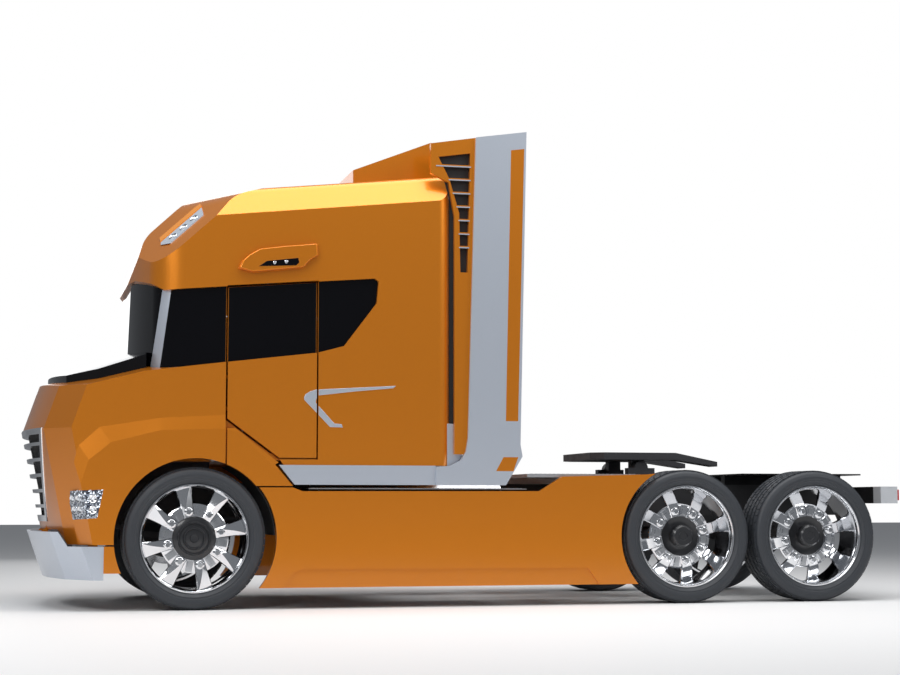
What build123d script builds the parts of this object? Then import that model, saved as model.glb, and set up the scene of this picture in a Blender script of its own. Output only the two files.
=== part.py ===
from build123d import *
import os

# Long-haul tractor unit with a sleeper cab, a short tilting hood and two rear axles.
# Millimetres. +X points to the rear, -Y is the truck's left side, +Z is up, the tyres stand on Z 0.
# The origin lies halfway along the truck, below its middle line.

os.makedirs("parts", exist_ok=True)

# Places along the truck, measured from the front axle
nose_reach = 1270
tail_reach = 5880
drive_axle_run = 3952
bogie_spread = 1124
front_axle_x = (nose_reach - tail_reach) / 2
rear_axle_xs = [front_axle_x + drive_axle_run, front_axle_x + drive_axle_run + bogie_spread]

# Tyres and wheels
tyre_diameter = 1070
tyre_width = 385
tread_width = 318
bulge_diameter = 980
rim_lip_diameter = 822
rim_width = 336
rim_wall = 12
lip_height = 19
lip_thickness = 12
lip_edge = 4.6
wheel_track = 2090
axle_height = tyre_diameter / 2
hub_radius = 165
hub_bore_radius = 55
hub_cap_thickness = 26
spoke_count = 8
spoke_start = 13
front_spoke_setback = 34
rear_spoke_setback = 150
front_spoke_thickness = 46
rear_spoke_thickness = 60
spoke_root_width = 92
spoke_tip_width = 150
hub_nose_radius = 85
hub_nose_length = 70
drum_radius = 205
front_drum_length = 62
rear_drum_length = 110

# Running and fitting clearances
shaft_clearance = 0.05
seat_clearance = 0.3
panel_gap = 12
yoke_clearance = 0.6
cut_overrun = 200

# Body widths and walls
body_half_width = 1225
flare_proud = 25
flare_half_width = body_half_width + flare_proud
hood_wall = 18
hood_gap = 12
glass_thickness = 6
glass_depth = hood_wall + hood_gap
cab_wall = 90
nose_radius = 3100
nose_facet_run = 340
nose_facet_half = 723

# Cab
cab_front = front_axle_x - 514
cab_length = 2509
cab_base = 1090
cab_height = 2430
cab_front_radius = 3500
cab_front_corner = 260
cab_rear_corner = 110
cab_seam_height = 2597
cab_post_depth = 300
# Side profile: share of the cab's length, share of its height, corner radius as a share of its height
cab_profile_shares = [
    (0.0, 0.0, 0.0),
    (0.012, 0.59, 0.1),
    (0.062, 0.745, 0.14),
    (0.205, 0.885, 0.2),
    (0.324, 0.942, 0.3),
    (0.747, 0.983, 1.0),
    (1.0, 1.0, 0.1),
    (1.0, 0.0, 0.0),
]
# Roof section: share of the half width, drop as a share of the height, radius as a share of the height
roof_section_shares = [
    (-1.001, 0.1445, 0.012),
    (-0.915, 0.06, 0.03),
    (0.0, 0.0, 1.4),
    (0.915, 0.06, 0.03),
    (1.001, 0.1445, 0.012),
]
roof_rise_share = 0.108
# Facets at the brow's corners: place, turn in plan, outline as shares of the cab's length and height
brow_facet_run = -190
brow_facet_half = 900
brow_facet_turn = 30
brow_facet_shares = [(-0.2, 0.512), (0.1156, 0.86), (1.435, 1.269)]
brow_facet_radius = 365
# Recess that holds the glass and lets the hood's sides lap over the cab
band_shares = [
    (-0.2, -0.1),
    (0.47, -0.1),
    (0.47, 0.0),
    (0.456, 0.02),
    (0.295, 0.142),
    (0.295, 0.321),
    (0.573, 0.356),
    (0.655, 0.379),
    (0.757, 0.519),
    (0.763, 0.589),
    (0.751, 0.599),
    (0.293, 0.56),
    (0.105, 0.543),
    (0.03, 0.592),
    (-0.2, 0.6),
]
windshield_shares = [(-0.2, 0.42), (0.012, 0.354), (0.069, 0.288), (0.1, 0.546), (0.03, 0.592), (-0.2, 0.6)]
post_trim_shares = [(0.069, 0.288), (0.095, 0.2918), (0.125, 0.5447), (0.105, 0.543), (0.1, 0.546)]
quarter_glass_shares = [(0.095, 0.2918), (0.291, 0.3204), (0.291, 0.5595), (0.125, 0.5447)]
door_glass_shares = [(0.299, 0.3213), (0.569, 0.3555), (0.569, 0.5805), (0.299, 0.557)]
rear_glass_shares = [
    (0.577, 0.357),
    (0.655, 0.379),
    (0.757, 0.519),
    (0.763, 0.589),
    (0.751, 0.599),
    (0.577, 0.584),
]
door_shares = [(0.295, 0.142), (0.456, 0.02), (0.573, 0.02), (0.573, 0.584), (0.295, 0.5602)]
window_border = 50
# Door hinges: heights, and places from the door's front edge and outer face
door_hinge_heights = [1520, 1760]
door_hinge_back = 32
door_hinge_depth = 20
door_pin_radius = 6
door_ring_radius = 10
door_notch_half = 30
door_notch_length = 50
door_skin = 5
hinge_arm_half = 15
hinge_arm_width = 24
# Feet of the cab on the frame rails, measured from the front axle
cab_foot_runs = [720, 1750]
cab_foot_length = 100

# Hood
grille_proud = 6
hood_start = front_axle_x - nose_reach + grille_proud
hood_reach = 1500
hood_base = 280
hood_rise = 1670
# Nose: share of the rise at its foremost ridge, and how far it rakes back for each unit up or down
nose_ridge_share = 0.647
nose_top_rake_share = 0.337
nose_foot_rake_share = 0.211
# Crowned top: place from the front axle and height at the crown's edges, and the climb for each unit back
hood_top_runs = [(-1010, 1608), (-390, 1768)]
hood_top_climb_shares = [0.258, 0.129]
hood_crown = 150
hood_crown_half = 1325
hood_seam_shares = [(0.988, 1.3), (0.988, 0.1), (1.6, 0.1), (1.6, 1.3)]
# The wing's tail stops short under the door's hinge, where the open door's lower edge swings
wing_tail_shares = [
    (0.996, 0.3),
    (0.996, 0.65),
    (1.037, 0.65),
    (1.259, 0.496),
    (1.241, 0.486),
    (1.333, 0.389),
    (1.2, 0.3),
]
hood_foot_shares = [
    (-0.2, -0.1),
    (-0.2, 0.192),
    (0.18, 0.192),
    (0.227, 0.126),
    (0.847, 0.126),
    (0.847, 0.389),
    (1.6, 0.389),
    (1.6, -0.1),
]
flare_shares = [
    (0.229, 0.126),
    (0.229, 0.29),
    (0.267, 0.368),
    (0.313, 0.503),
    (0.42, 0.581),
    (0.667, 0.638),
    (0.987, 0.647),
    (1.062, 0.628),
    (1.333, 0.389),
    (0.847, 0.389),
    (0.847, 0.126),
]
# The flare's bevel runs from this outline on the hood's side up to the flare's own edge
bevel_shares = [
    (0.222, 0.126),
    (0.222, 0.36),
    (0.226, 0.43),
    (0.262, 0.57),
    (0.363, 0.653),
    (0.663, 0.696),
    (0.99, 0.713),
    (1.105, 0.7),
    (1.43, 0.41),
    (0.847, 0.389),
    (0.847, 0.126),
]
flare_depth = 150
bevel_seat = 1
front_arch_radius = 602

# Scuttle cover: places from the front axle, edge height at its front, climb for each unit back
cover_front_run = -1070
cover_rear_run = -370
cover_height = 1697
cover_climb_share = 0.336
cover_crown = 90
cover_half_width = 1060

# Hood hinge: a pin on each bumper bracket and a lug on the hood
hood_hinge_x = front_axle_x - 1100
hood_hinge_z = 560
hood_pin_radius = 12
hood_ring_radius = 26
hood_lug_share = 0.9
hood_lug_inner = 440
hood_lug_outer = 480
hood_pin_end = 490
hood_lug_depth = 38
hood_lug_rise = 80

# Grille
grille_top_half = 900
grille_bottom_half = 560
grille_bottom = 660
grille_top = 1370
grille_frame = 46
grille_depth = 60
grille_bar_count = 5
grille_bar_height = 26

# Bumper
bumper_half_width = 1242
bumper_top = 586
bumper_side_top = 478
bumper_bottom = 230
bumper_front_top = 1212
bumper_front_bottom = 1085
bumper_step_front = 1000
bumper_step_rear = 930
bumper_end = 672
bumper_wall = 24
bracket_length = 100
bracket_base = 480
bracket_thickness = 100

# Skirts, sills and catwalks
skirt_start = front_axle_x + 480
skirt_length = 3190
skirt_base = 160
skirt_height = 880
skirt_wall = 45
skirt_shares = [
    (-0.02, 0.0),
    (-0.02, 0.862),
    (0.08, 0.862),
    (0.103, 0.83),
    (0.696, 0.835),
    (0.755, 0.966),
    (0.981, 0.989),
    (1.01, 1.0),
    (1.01, 0.0),
]
# Shallow recess along the skirt's foot
skirt_recess_shares = [(0.05, -0.05), (0.085, 0.13), (0.105, 0.159), (0.82, 0.148), (0.859, -0.05)]
skirt_recess_depth = 12
rear_arch_radius = 574
sill_start = front_axle_x + 628
sill_joint = front_axle_x + 1857
sill_top = cab_base
sill_bottom = 940
sill_slope = 121
sill_half_width = 1240
sill_wall = 45
catwalk_start = front_axle_x + 2610
catwalk_end = front_axle_x + 3560
catwalk_top = 1030
catwalk_thickness = 25

# Side deflectors behind the cab
deflector_start = front_axle_x + 1810
deflector_length = 790
deflector_base = 940
deflector_height = 2825
deflector_half_width = 1260
deflector_wall = 40
deflector_shares = [
    (0.0595, 0.0),
    (0.0595, 0.05),
    (0.2, 0.053),
    (0.31, 0.068),
    (0.36, 0.092),
    (0.383, 0.13),
    (0.468, 0.977),
    (1.0, 1.0),
    (0.924, 0.113),
    (0.945, 0.08),
    (0.772, 0.0),
]
inlay_shares = [(0.772, 0.178), (0.835, 0.945), (0.975, 0.951), (0.9, 0.178)]
foot_inlay_shares = [(0.67, 0.039), (0.85, 0.039), (0.9, 0.078), (0.747, 0.078)]
inlay_depth = 6
column_half_width = 1238
column_wall = 36
column_shares = [
    (0.006, 0.871),
    (0.006, 0.955),
    (0.49, 0.978),
    (0.4, 0.085),
    (0.25, 0.085),
    (0.25, 0.75),
    (0.19, 0.846),
]
louvre_shares = [(0.085, 0.918), (0.415, 0.932), (0.386, 0.593), (0.312, 0.593), (0.3, 0.76), (0.2, 0.855)]
slat_count = 7
slat_top_share = 0.892
slat_pitch_share = 0.0382
slat_height = 14
slat_depth = 30

# Roof deflector
wedge_half_width = 930
wedge_start = front_axle_x + 1250
wedge_ridge = front_axle_x + 1885
wedge_end = front_axle_x + 1960
wedge_low = 3300
wedge_lip = 3452
wedge_top = 3706

# Roof lamps and camera pods
lamp_thickness = 9
marker_inner = 800
marker_outer = 880
lamp_inner = 900
lamp_outer = 1040
lamp_run_shares = [(0.1, 0.7), (0.1, 1.1), (0.225, 1.1), (0.225, 0.7)]
pod_thickness = 55
pod_shares = [(0.328, 0.617), (0.385, 0.67), (0.508, 0.691), (0.571, 0.704), (0.521, 0.632)]

# Headlamps
headlamp_thickness = 14
headlamp_shares = [(0.229, 0.365), (0.387, 0.371), (0.36, 0.245), (0.229, 0.236)]

# Chassis
rail_half_gap = 345
rail_height = 260
rail_flange = 80
rail_wall = 10
rail_top = 960
rail_front = front_axle_x - 1010
rail_end = front_axle_x + 5712
cross_member_runs = [-900, 760, 1900, 3150, 4514, 5640]
cross_member_width = 70
cross_member_height = 180

# Front axle, springs and knuckles
kingpin_inset = 70
kingpin_radius = 25
eye_radius = 48
eye_height = 110
beam_depth = 90
beam_height = 90
beam_drop = 75
spring_width = 80
spring_leaf = 16
spring_leaf_count = 3
spring_span = 1400
lug_height = 40
yoke_wall = 30
spindle_radius = hub_bore_radius - shaft_clearance
steer_arm_length = 190
steer_arm_width = 50
steer_arm_height = 36

# Rear axles
axle_tube_radius = 70
differential_radius = 200
differential_length = 300
air_spring_radius = 90

# Engine, radiator and drive line
engine_length = 1150
engine_width = 660
engine_height = 860
engine_front = front_axle_x - 950
engine_base = 640
radiator_thickness = 65
radiator_front = front_axle_x - 1025
tunnel_clearance = 25
tunnel_wall = 30
shaft_radius = 60
tank_radius = 280
tank_start = front_axle_x + 980
tank_length = 1500
tank_height = 720

# Fifth wheel
fifth_wheel_x = front_axle_x + 3860
fifth_wheel_top = 1230
fifth_wheel_plate = 60
fifth_wheel_half_width = 460
fifth_wheel_front = 440
fifth_wheel_rear = 300
throat_start = 95
throat_half_width = 230
throat_root = 60
ramp_length = 380
ramp_width = 190
ramp_drop = 75
ramp_thickness = 40
kingpin_bore_radius = 25.6
pivot_radius = 30
pivot_height = 1100
boss_inner = 250
boss_outer = 335
boss_length = 110
pedestal_inner = 345
pedestal_outer = 425
pedestal_length = 240
base_thickness = 14

# Deck and tail
deck_start = front_axle_x + 4620
deck_half_width = 800
deck_thickness = 12
deck_top = 1050
tail_bar_start = rail_end
tail_bar_half_width = 1150
tail_bar_bottom = 800
tail_bar_top = 940
tail_lamp_width = 380
tail_lamp_height = 90
tail_lamp_thickness = 14

# Inside the cab
seat_width = 520
seat_depth = 500
seat_cushion = 130
seat_height = 420
seat_back = 130
seat_back_height = 700
seat_offset = 620
seat_foot_inset = 104
seat_x = front_axle_x + 560
dash_depth = 260
dash_height = 420
dash_top = 1760
bunk_depth = 640
bunk_height = 520
steering_radius = 225
steering_ring = 17
steering_x = front_axle_x + 330
steering_z = 1900
steering_rise_share = 1.4


def along(shares, start, length, base, height):
    """Points of an outline from shares of the length and height that it follows."""
    return [(start + row[0] * length, base + row[1] * height) for row in shares]


def cab_points(shares):
    return along(shares, cab_front, cab_length, cab_base, cab_height)


def hood_points(shares):
    return along(shares, hood_start, hood_reach, hood_base, hood_rise)


def skirt_points(shares):
    return along(shares, skirt_start, skirt_length, skirt_base, skirt_height)


def deflector_points(shares):
    return along(shares, deflector_start, deflector_length, deflector_base, deflector_height)


def side_slab(points, inner, outer, grow=0):
    """A plate on the left side: an outline seen from the side, from one distance out to another."""
    with BuildPart() as slab:
        with BuildSketch(Plane.XZ.offset(inner)):
            with BuildLine():
                Polyline(*points, close=True)
            make_face()
            if grow:
                offset(amount=grow, kind=Kind.INTERSECTION)
        extrude(amount=outer - inner)
    return slab.part


def cross_slab(points, half_width, grow=0):
    """The same outline taken right across the truck."""
    return side_slab(points, -half_width, half_width, grow)


def both_sides(left):
    """A left piece with its mirror image."""
    with BuildPart() as pair:
        add(left)
        mirror(about=Plane.XZ)
    return pair.part


def side_cylinder(x, z, radius, inner, outer):
    with BuildPart() as bar:
        with BuildSketch(Plane.XZ.offset(inner)):
            with Locations((x, z)):
                Circle(radius)
        extrude(amount=outer - inner)
    return bar.part


def block(x0, x1, y0, y1, z0, z1):
    with BuildPart() as brick:
        with BuildSketch(Plane.XY.offset(z0)):
            with Locations(((x0 + x1) / 2, (y0 + y1) / 2)):
                Rectangle(x1 - x0, y1 - y0)
        extrude(amount=z1 - z0)
    return brick.part


def save(name, shape):
    """Write one finished piece under its node's name."""
    with BuildPart() as piece:
        add(shape)
    piece.part.label = name
    export_step(piece.part, "parts/" + name + ".step")


def cab_form(inset):
    """The cab's closed form, shrunk by an even inset: side profile, roof section and plan."""
    points = cab_points(cab_profile_shares)
    radii = [row[2] * cab_height for row in cab_profile_shares]
    roof_x = cab_front + cab_profile_shares[5][0] * cab_length
    roof_z = cab_base + cab_profile_shares[5][1] * cab_height
    roof = [(row[0] * body_half_width, -row[1] * cab_height) for row in roof_section_shares]
    bends = [row[2] * cab_height for row in roof_section_shares]
    foot = [(roof[-1][0], -2 * cab_height), (roof[0][0], -2 * cab_height)]
    with BuildPart() as form:
        with BuildSketch(Plane.XZ.offset(-2 * body_half_width)):
            with BuildLine():
                FilletPolyline(*points, radius=radii, close=True)
            make_face()
            if inset:
                offset(amount=-inset, kind=Kind.INTERSECTION)
        extrude(amount=4 * body_half_width)
        run = Plane(origin=(roof_x, 0, roof_z), x_dir=(0, 1, 0), z_dir=(1, 0, roof_rise_share))
        with BuildSketch(run.offset(-2 * cab_length)):
            with BuildLine():
                FilletPolyline(*roof, *foot, radius=bends + [0, 0], close=True)
            make_face()
            if inset:
                offset(amount=-inset, kind=Kind.INTERSECTION)
        extrude(amount=4 * cab_length, mode=Mode.INTERSECT)
        for side in (-1, 1):
            corner = (front_axle_x + brow_facet_run, side * brow_facet_half, 0)
            across = Plane(origin=corner, x_dir=(1, 0, 0), z_dir=(0, -1, 0))
            across = across.rotated((0, 0, -side * brow_facet_turn))
            facet = along(brow_facet_shares, 0, cab_length, cab_base, cab_height)
            ends = [(facet[-1][0], -cab_base), (facet[0][0], -cab_base)]
            with BuildSketch(across.offset(-2 * cab_length)):
                with BuildLine():
                    FilletPolyline(*facet, *ends, radius=[0, brow_facet_radius, 0, 0, 0], close=True)
                make_face()
                if inset:
                    offset(amount=-inset, kind=Kind.INTERSECTION)
            extrude(amount=4 * cab_length, mode=Mode.INTERSECT)
        with BuildSketch(Plane.XY.offset(cab_base - cut_overrun)) as plan:
            with Locations((cab_front + cab_front_radius, 0)):
                Circle(cab_front_radius - inset)
            with Locations((cab_front + cab_length / 2, 0)):
                Rectangle(cab_length - 2 * inset, 2 * (body_half_width - inset), mode=Mode.INTERSECT)
            fillet(plan.vertices().group_by(Axis.X)[0], cab_front_corner - inset)
            fillet(plan.vertices().group_by(Axis.X)[-1], cab_rear_corner - inset)
        extrude(amount=2 * cab_height, mode=Mode.INTERSECT)
    return form.part


def nose_plan(height, front, rear, half_width, inset):
    """A level section through the nose: bowed in plan, with a flat facet at each corner."""
    with BuildSketch(Plane.XY.offset(height)) as plan:
        with Locations((front + nose_radius, 0)):
            Circle(nose_radius)
        with BuildLine():
            Polyline(
                (front, -nose_facet_half),
                (front, nose_facet_half),
                (front + nose_facet_run, half_width),
                (rear, half_width),
                (rear, -half_width),
                (front + nose_facet_run, -half_width),
                close=True,
            )
        make_face(mode=Mode.INTERSECT)
        if inset:
            offset(amount=-inset, kind=Kind.INTERSECTION)
    return plan.sketch


def crown_run(place, height, climb, rise, half, inset=0):
    """A long body with a crowned top that climbs evenly to the rear."""
    run = Plane(origin=(place, 0, height - inset), x_dir=(0, 1, 0), z_dir=(1, 0, climb))
    with BuildPart() as crown:
        with BuildSketch(run.offset(-2 * hood_reach)):
            with BuildLine():
                ThreePointArc((-half, 0), (0, rise), (half, 0))
                Polyline((half, 0), (half, -2 * hood_rise), (-half, -2 * hood_rise), (-half, 0))
            make_face()
        extrude(amount=4 * hood_reach)
    return crown.part


def nose_prism(rake, inset):
    """The nose's plan carried upward with an even rake, through its foremost ridge."""
    front = hood_start - rake * nose_ridge_share * hood_rise
    rear = hood_start + hood_reach * hood_foot_shares[-1][0]
    with BuildPart() as prism:
        add(nose_plan(hood_base, front, rear, body_half_width, inset))
        extrude(amount=2 * hood_rise, dir=(rake, 0, 1))
    return prism.part


def hood_form(inset):
    """The hood's closed form, bowed nose and crowned top, shrunk by an even inset."""
    form = nose_prism(nose_top_rake_share, inset) & nose_prism(-nose_foot_rake_share, inset)
    for (run, height), climb in zip(hood_top_runs, hood_top_climb_shares):
        form = form & crown_run(front_axle_x + run, height, climb, hood_crown, hood_crown_half, inset)
    return form


# Tyres: slanted side walls from the bead to the bulge, shoulders and a flat tread, turned about the axle
def tyre_body():
    bead = rim_lip_diameter / 2 - lip_height + seat_clearance
    bead_half = rim_width / 2 - lip_thickness - seat_clearance
    outer = tyre_diameter / 2
    with BuildPart() as body:
        with BuildSketch(Plane.XY):
            with BuildLine():
                Polyline(
                    (bead, -bead_half),
                    (bead, bead_half),
                    (bulge_diameter / 2, tyre_width / 2),
                    (outer, tread_width / 2),
                    (outer, -tread_width / 2),
                    (bulge_diameter / 2, -tyre_width / 2),
                    close=True,
                )
            make_face()
        revolve(axis=Axis.Y)
    return body.part


# Wheels: rim barrel, eight spokes, hub and brake drum in one body, made with the outer face towards -Y
def wheel_body(setback, spoke_thickness, nose, drum_length):
    barrel = rim_lip_diameter / 2 - lip_height
    half = rim_width / 2
    face = -half + setback
    back = face + spoke_thickness
    spoke_reach = ((barrel - rim_wall / 4) ** 2 - (spoke_tip_width / 2) ** 2) ** 0.5
    spoke = [
        (hub_radius - rim_wall, -spoke_root_width / 2),
        (spoke_reach, -spoke_tip_width / 2),
        (spoke_reach, spoke_tip_width / 2),
        (hub_radius - rim_wall, spoke_root_width / 2),
    ]
    with BuildPart() as body:
        with BuildSketch(Plane.XY):
            with BuildLine():
                Polyline(
                    (barrel + lip_height, -half),
                    (barrel + lip_height, -half + lip_edge),
                    (barrel, -half + lip_thickness),
                    (barrel, half - lip_thickness),
                    (barrel + lip_height, half - lip_edge),
                    (barrel + lip_height, half),
                    (barrel - rim_wall, half),
                    (barrel - rim_wall, -half),
                    close=True,
                )
            make_face()
        revolve(axis=Axis.Y)
        with BuildSketch(Plane.XZ.offset(-back)):
            with PolarLocations(0, spoke_count, start_angle=spoke_start):
                Polygon(*spoke, align=None)
        extrude(amount=spoke_thickness)
        with BuildSketch(Plane.XY):
            with BuildLine():
                Polyline(
                    (0, face - nose),
                    (hub_nose_radius, face - nose),
                    (hub_nose_radius, face + rim_wall),
                    (hub_radius, face + rim_wall),
                    (hub_radius, back),
                    (drum_radius, back),
                    (drum_radius, back + drum_length),
                    (0, back + drum_length),
                    close=True,
                )
            make_face()
        revolve(axis=Axis.Y)
        with BuildSketch(Plane.XZ.offset(-back - drum_length)):
            Circle(hub_bore_radius)
        extrude(amount=back + drum_length - face - hub_cap_thickness + nose, mode=Mode.SUBTRACT)
    return body.part


front_wheel = wheel_body(front_spoke_setback, front_spoke_thickness, 0, front_drum_length)
rear_wheel = wheel_body(rear_spoke_setback, rear_spoke_thickness, hub_nose_length, rear_drum_length)
tyre = tyre_body()
# Name, place along the truck, side
wheel_table = [
    ("front_left", front_axle_x, -1),
    ("front_right", front_axle_x, 1),
    ("mid_left", rear_axle_xs[0], -1),
    ("mid_right", rear_axle_xs[0], 1),
    ("rear_left", rear_axle_xs[1], -1),
    ("rear_right", rear_axle_xs[1], 1),
]
for place, x, side in wheel_table:
    half_turn = 90 + 90 * side
    seat = Pos(x, side * wheel_track / 2, axle_height) * Rot(0, 0, half_turn)
    save("tyre_" + place, seat * tyre)
    save("wheel_" + place, seat * (front_wheel if x == front_axle_x else rear_wheel))

# Steering knuckles: two lugs on the kingpin, a yoke wall outside the axle eye, the spindle and an arm
kingpin_y = wheel_track / 2 - kingpin_inset
front_spindle_end = wheel_track / 2 + rim_width / 2 - front_spoke_setback - hub_cap_thickness - yoke_clearance
rim_face = wheel_track / 2 + rim_width / 2
yoke_face = rim_face - front_spoke_setback - front_spoke_thickness - front_drum_length - panel_gap
yoke_back = yoke_face - yoke_wall
eye_top = axle_height + eye_height / 2
eye_bottom = axle_height - eye_height / 2
lug_top = eye_top + yoke_clearance + lug_height
lug_bottom = eye_bottom - yoke_clearance - lug_height
with BuildPart() as knuckle:
    with BuildSketch(Plane.XY.offset(lug_bottom)):
        with Locations((front_axle_x, -kingpin_y)):
            Circle(kingpin_radius - shaft_clearance)
    extrude(amount=lug_top - lug_bottom)
    for level in (lug_bottom, lug_top - lug_height):
        with BuildSketch(Plane.XY.offset(level)):
            with Locations((front_axle_x, -kingpin_y)):
                Circle(eye_radius)
            with Locations((front_axle_x, -(kingpin_y + yoke_face) / 2)):
                Rectangle(2 * eye_radius, yoke_face - kingpin_y)
        extrude(amount=lug_height)
    yoke_front = front_axle_x - eye_radius
    yoke_rear = front_axle_x + eye_radius
    add(block(yoke_front, yoke_rear, -yoke_face, -yoke_back, lug_bottom, lug_top))
    add(side_cylinder(front_axle_x, axle_height, spindle_radius, yoke_back, front_spindle_end))
    with BuildSketch(Plane.XY.offset(lug_bottom)):
        with Locations((front_axle_x + steer_arm_length / 2, -kingpin_y)):
            SlotCenterToCenter(steer_arm_length, steer_arm_width)
    extrude(amount=steer_arm_height)
save("knuckle_left", knuckle.part)
save("knuckle_right", mirror(knuckle.part, Plane.XZ))

# Front axle: forged beam, dropped in the middle, with an upright eye at each end
beam_top = axle_height + beam_height / 2
beam_half = [(kingpin_y, 0), (kingpin_y - 2 * beam_drop, 0), (kingpin_y - 4 * beam_drop, -beam_drop)]
upper = [(-y, beam_top + dz) for y, dz in beam_half] + [(y, beam_top + dz) for y, dz in reversed(beam_half)]
lower = [(y, z - beam_height) for y, z in reversed(upper)]
with BuildPart() as front_axle:
    with BuildSketch(Plane.YZ.offset(front_axle_x - beam_depth / 2)):
        with BuildLine():
            Polyline(*upper, *lower, close=True)
        make_face()
    extrude(amount=beam_depth)
    with BuildSketch(Plane.XY.offset(eye_bottom)):
        with Locations((front_axle_x, -kingpin_y), (front_axle_x, kingpin_y)):
            Circle(eye_radius)
    extrude(amount=eye_height)
    with BuildSketch(Plane.XY.offset(eye_bottom)):
        with Locations((front_axle_x, -kingpin_y), (front_axle_x, kingpin_y)):
            Circle(kingpin_radius)
    extrude(amount=eye_height, mode=Mode.SUBTRACT)
save("front_axle", front_axle.part)

# Front springs: a leaf pack under each frame rail, resting on the axle beam
rail_middle = rail_half_gap + rail_flange / 2
rail_bottom = rail_top - rail_height
spring_seat = beam_top - beam_drop
with BuildPart() as spring:
    with BuildSketch(Plane.XZ.offset(rail_middle - spring_width / 2)):
        with BuildLine():
            left = front_axle_x - spring_span / 2
            right = front_axle_x + spring_span / 2
            leaf_end = rail_bottom - spring_leaf
            pack_top = spring_seat + spring_leaf_count * spring_leaf
            ThreePointArc((left, leaf_end), (front_axle_x, spring_seat), (right, leaf_end))
            Line((right, leaf_end), (right, rail_bottom))
            ThreePointArc((right, rail_bottom), (front_axle_x, pack_top), (left, rail_bottom))
            Line((left, rail_bottom), (left, leaf_end))
        make_face()
    extrude(amount=spring_width)
front_springs = both_sides(spring.part)

# Drive axles: tube, differential bowl and spindles of both rear axles
tube_end = rim_face - rear_spoke_setback - rear_spoke_thickness - rear_drum_length - panel_gap
rear_spindle_end = rim_face - rear_spoke_setback + hub_nose_length - hub_cap_thickness - yoke_clearance
with BuildPart() as drive_axles:
    for x in rear_axle_xs:
        add(side_cylinder(x, axle_height, axle_tube_radius, -tube_end, tube_end))
        add(side_cylinder(x, axle_height, spindle_radius, -rear_spindle_end, rear_spindle_end))
        bowl_half = differential_length / 2
        add(side_cylinder(x, axle_height, differential_radius, -bowl_half, bowl_half))
save("drive_axles", drive_axles.part)

# Rear air springs: bellows between the axle tubes and the frame rails
with BuildPart() as air_springs:
    for x in rear_axle_xs:
        with BuildSketch(Plane.XY.offset(axle_height + axle_tube_radius)):
            with Locations((x, rail_middle), (x, -rail_middle)):
                Circle(air_spring_radius)
        extrude(amount=rail_bottom - axle_height - axle_tube_radius)
save("springs", front_springs + air_springs.part)

# Frame: two channel rails and the cross members between their webs
web = rail_half_gap + rail_flange
with BuildPart() as frame:
    for side in (-1, 1):
        with BuildSketch(Plane.YZ.offset(rail_front)):
            with Locations((side * rail_middle, rail_top - rail_height / 2)):
                Rectangle(rail_flange, rail_height)
            with Locations((side * (rail_middle - rail_wall), rail_top - rail_height / 2)):
                Rectangle(rail_flange, rail_height - 2 * rail_wall, mode=Mode.SUBTRACT)
        extrude(amount=rail_end - rail_front)
    for run in cross_member_runs:
        x = front_axle_x + run
        low = rail_bottom + (rail_height - cross_member_height) / 2
        half = cross_member_width / 2
        inner = web - rail_wall
        add(block(x - half, x + half, -inner, inner, low, low + cross_member_height))
save("frame", frame.part)

# Engine: one plain block between the rails; the drive shaft runs from it to the first rear axle
engine_rear = engine_front + engine_length
engine_half = engine_width / 2
engine_top = engine_base + engine_height
engine = block(engine_front, engine_rear, -engine_half, engine_half, engine_base, engine_top)
member_bottom = rail_bottom + (rail_height - cross_member_height) / 2
for run in cross_member_runs[:1]:
    x = front_axle_x + run
    half = cross_member_width / 2
    engine = engine - block(x - half, x + half, -web, web, member_bottom, member_bottom + cross_member_height)
save("engine", engine)

with BuildPart() as drive_shaft:
    with BuildSketch(Plane.YZ.offset(engine_rear)):
        with Locations((0, engine_base + shaft_radius)):
            Circle(shaft_radius)
    with BuildSketch(Plane.YZ.offset(rear_axle_xs[0] - differential_radius)):
        with Locations((0, axle_height)):
            Circle(shaft_radius)
    loft(ruled=True)
save("drive_shaft", drive_shaft.part)

radiator_rear = radiator_front + radiator_thickness
save("radiator", block(radiator_front, radiator_rear, -rail_half_gap, rail_half_gap, rail_bottom, grille_top))

# Fuel tanks: a drum along each side of the frame, behind the skirts
with BuildPart() as tank:
    with BuildSketch(Plane.YZ.offset(tank_start)):
        with Locations((-(web + tank_radius + seat_clearance), tank_height)):
            Circle(tank_radius)
    extrude(amount=tank_length)
save("fuel_tanks", both_sides(tank.part))

# Cab shell: one hollow form, cut where the real panels meet
recess_depth = glass_depth + glass_thickness
band = cross_slab(cab_points(band_shares), body_half_width + cut_overrun)
skin = cab_form(0) - (band - cab_form(recess_depth))
hollow = cab_form(cab_wall)
arch_outer = side_cylinder(front_axle_x, axle_height, front_arch_radius + hood_wall, engine_width, 2 * body_half_width)
engine_bay = block(
    cab_front - cut_overrun,
    engine_rear + tunnel_clearance,
    -engine_half - tunnel_clearance,
    engine_half + tunnel_clearance,
    cab_base - cut_overrun,
    engine_top + tunnel_clearance,
)
shell = skin - hollow - both_sides(arch_outer) - engine_bay
glass_layer = (cab_form(glass_depth) - cab_form(recess_depth)) & band
far = body_half_width + cut_overrun
near = body_half_width - cut_overrun - cab_front_corner

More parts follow.
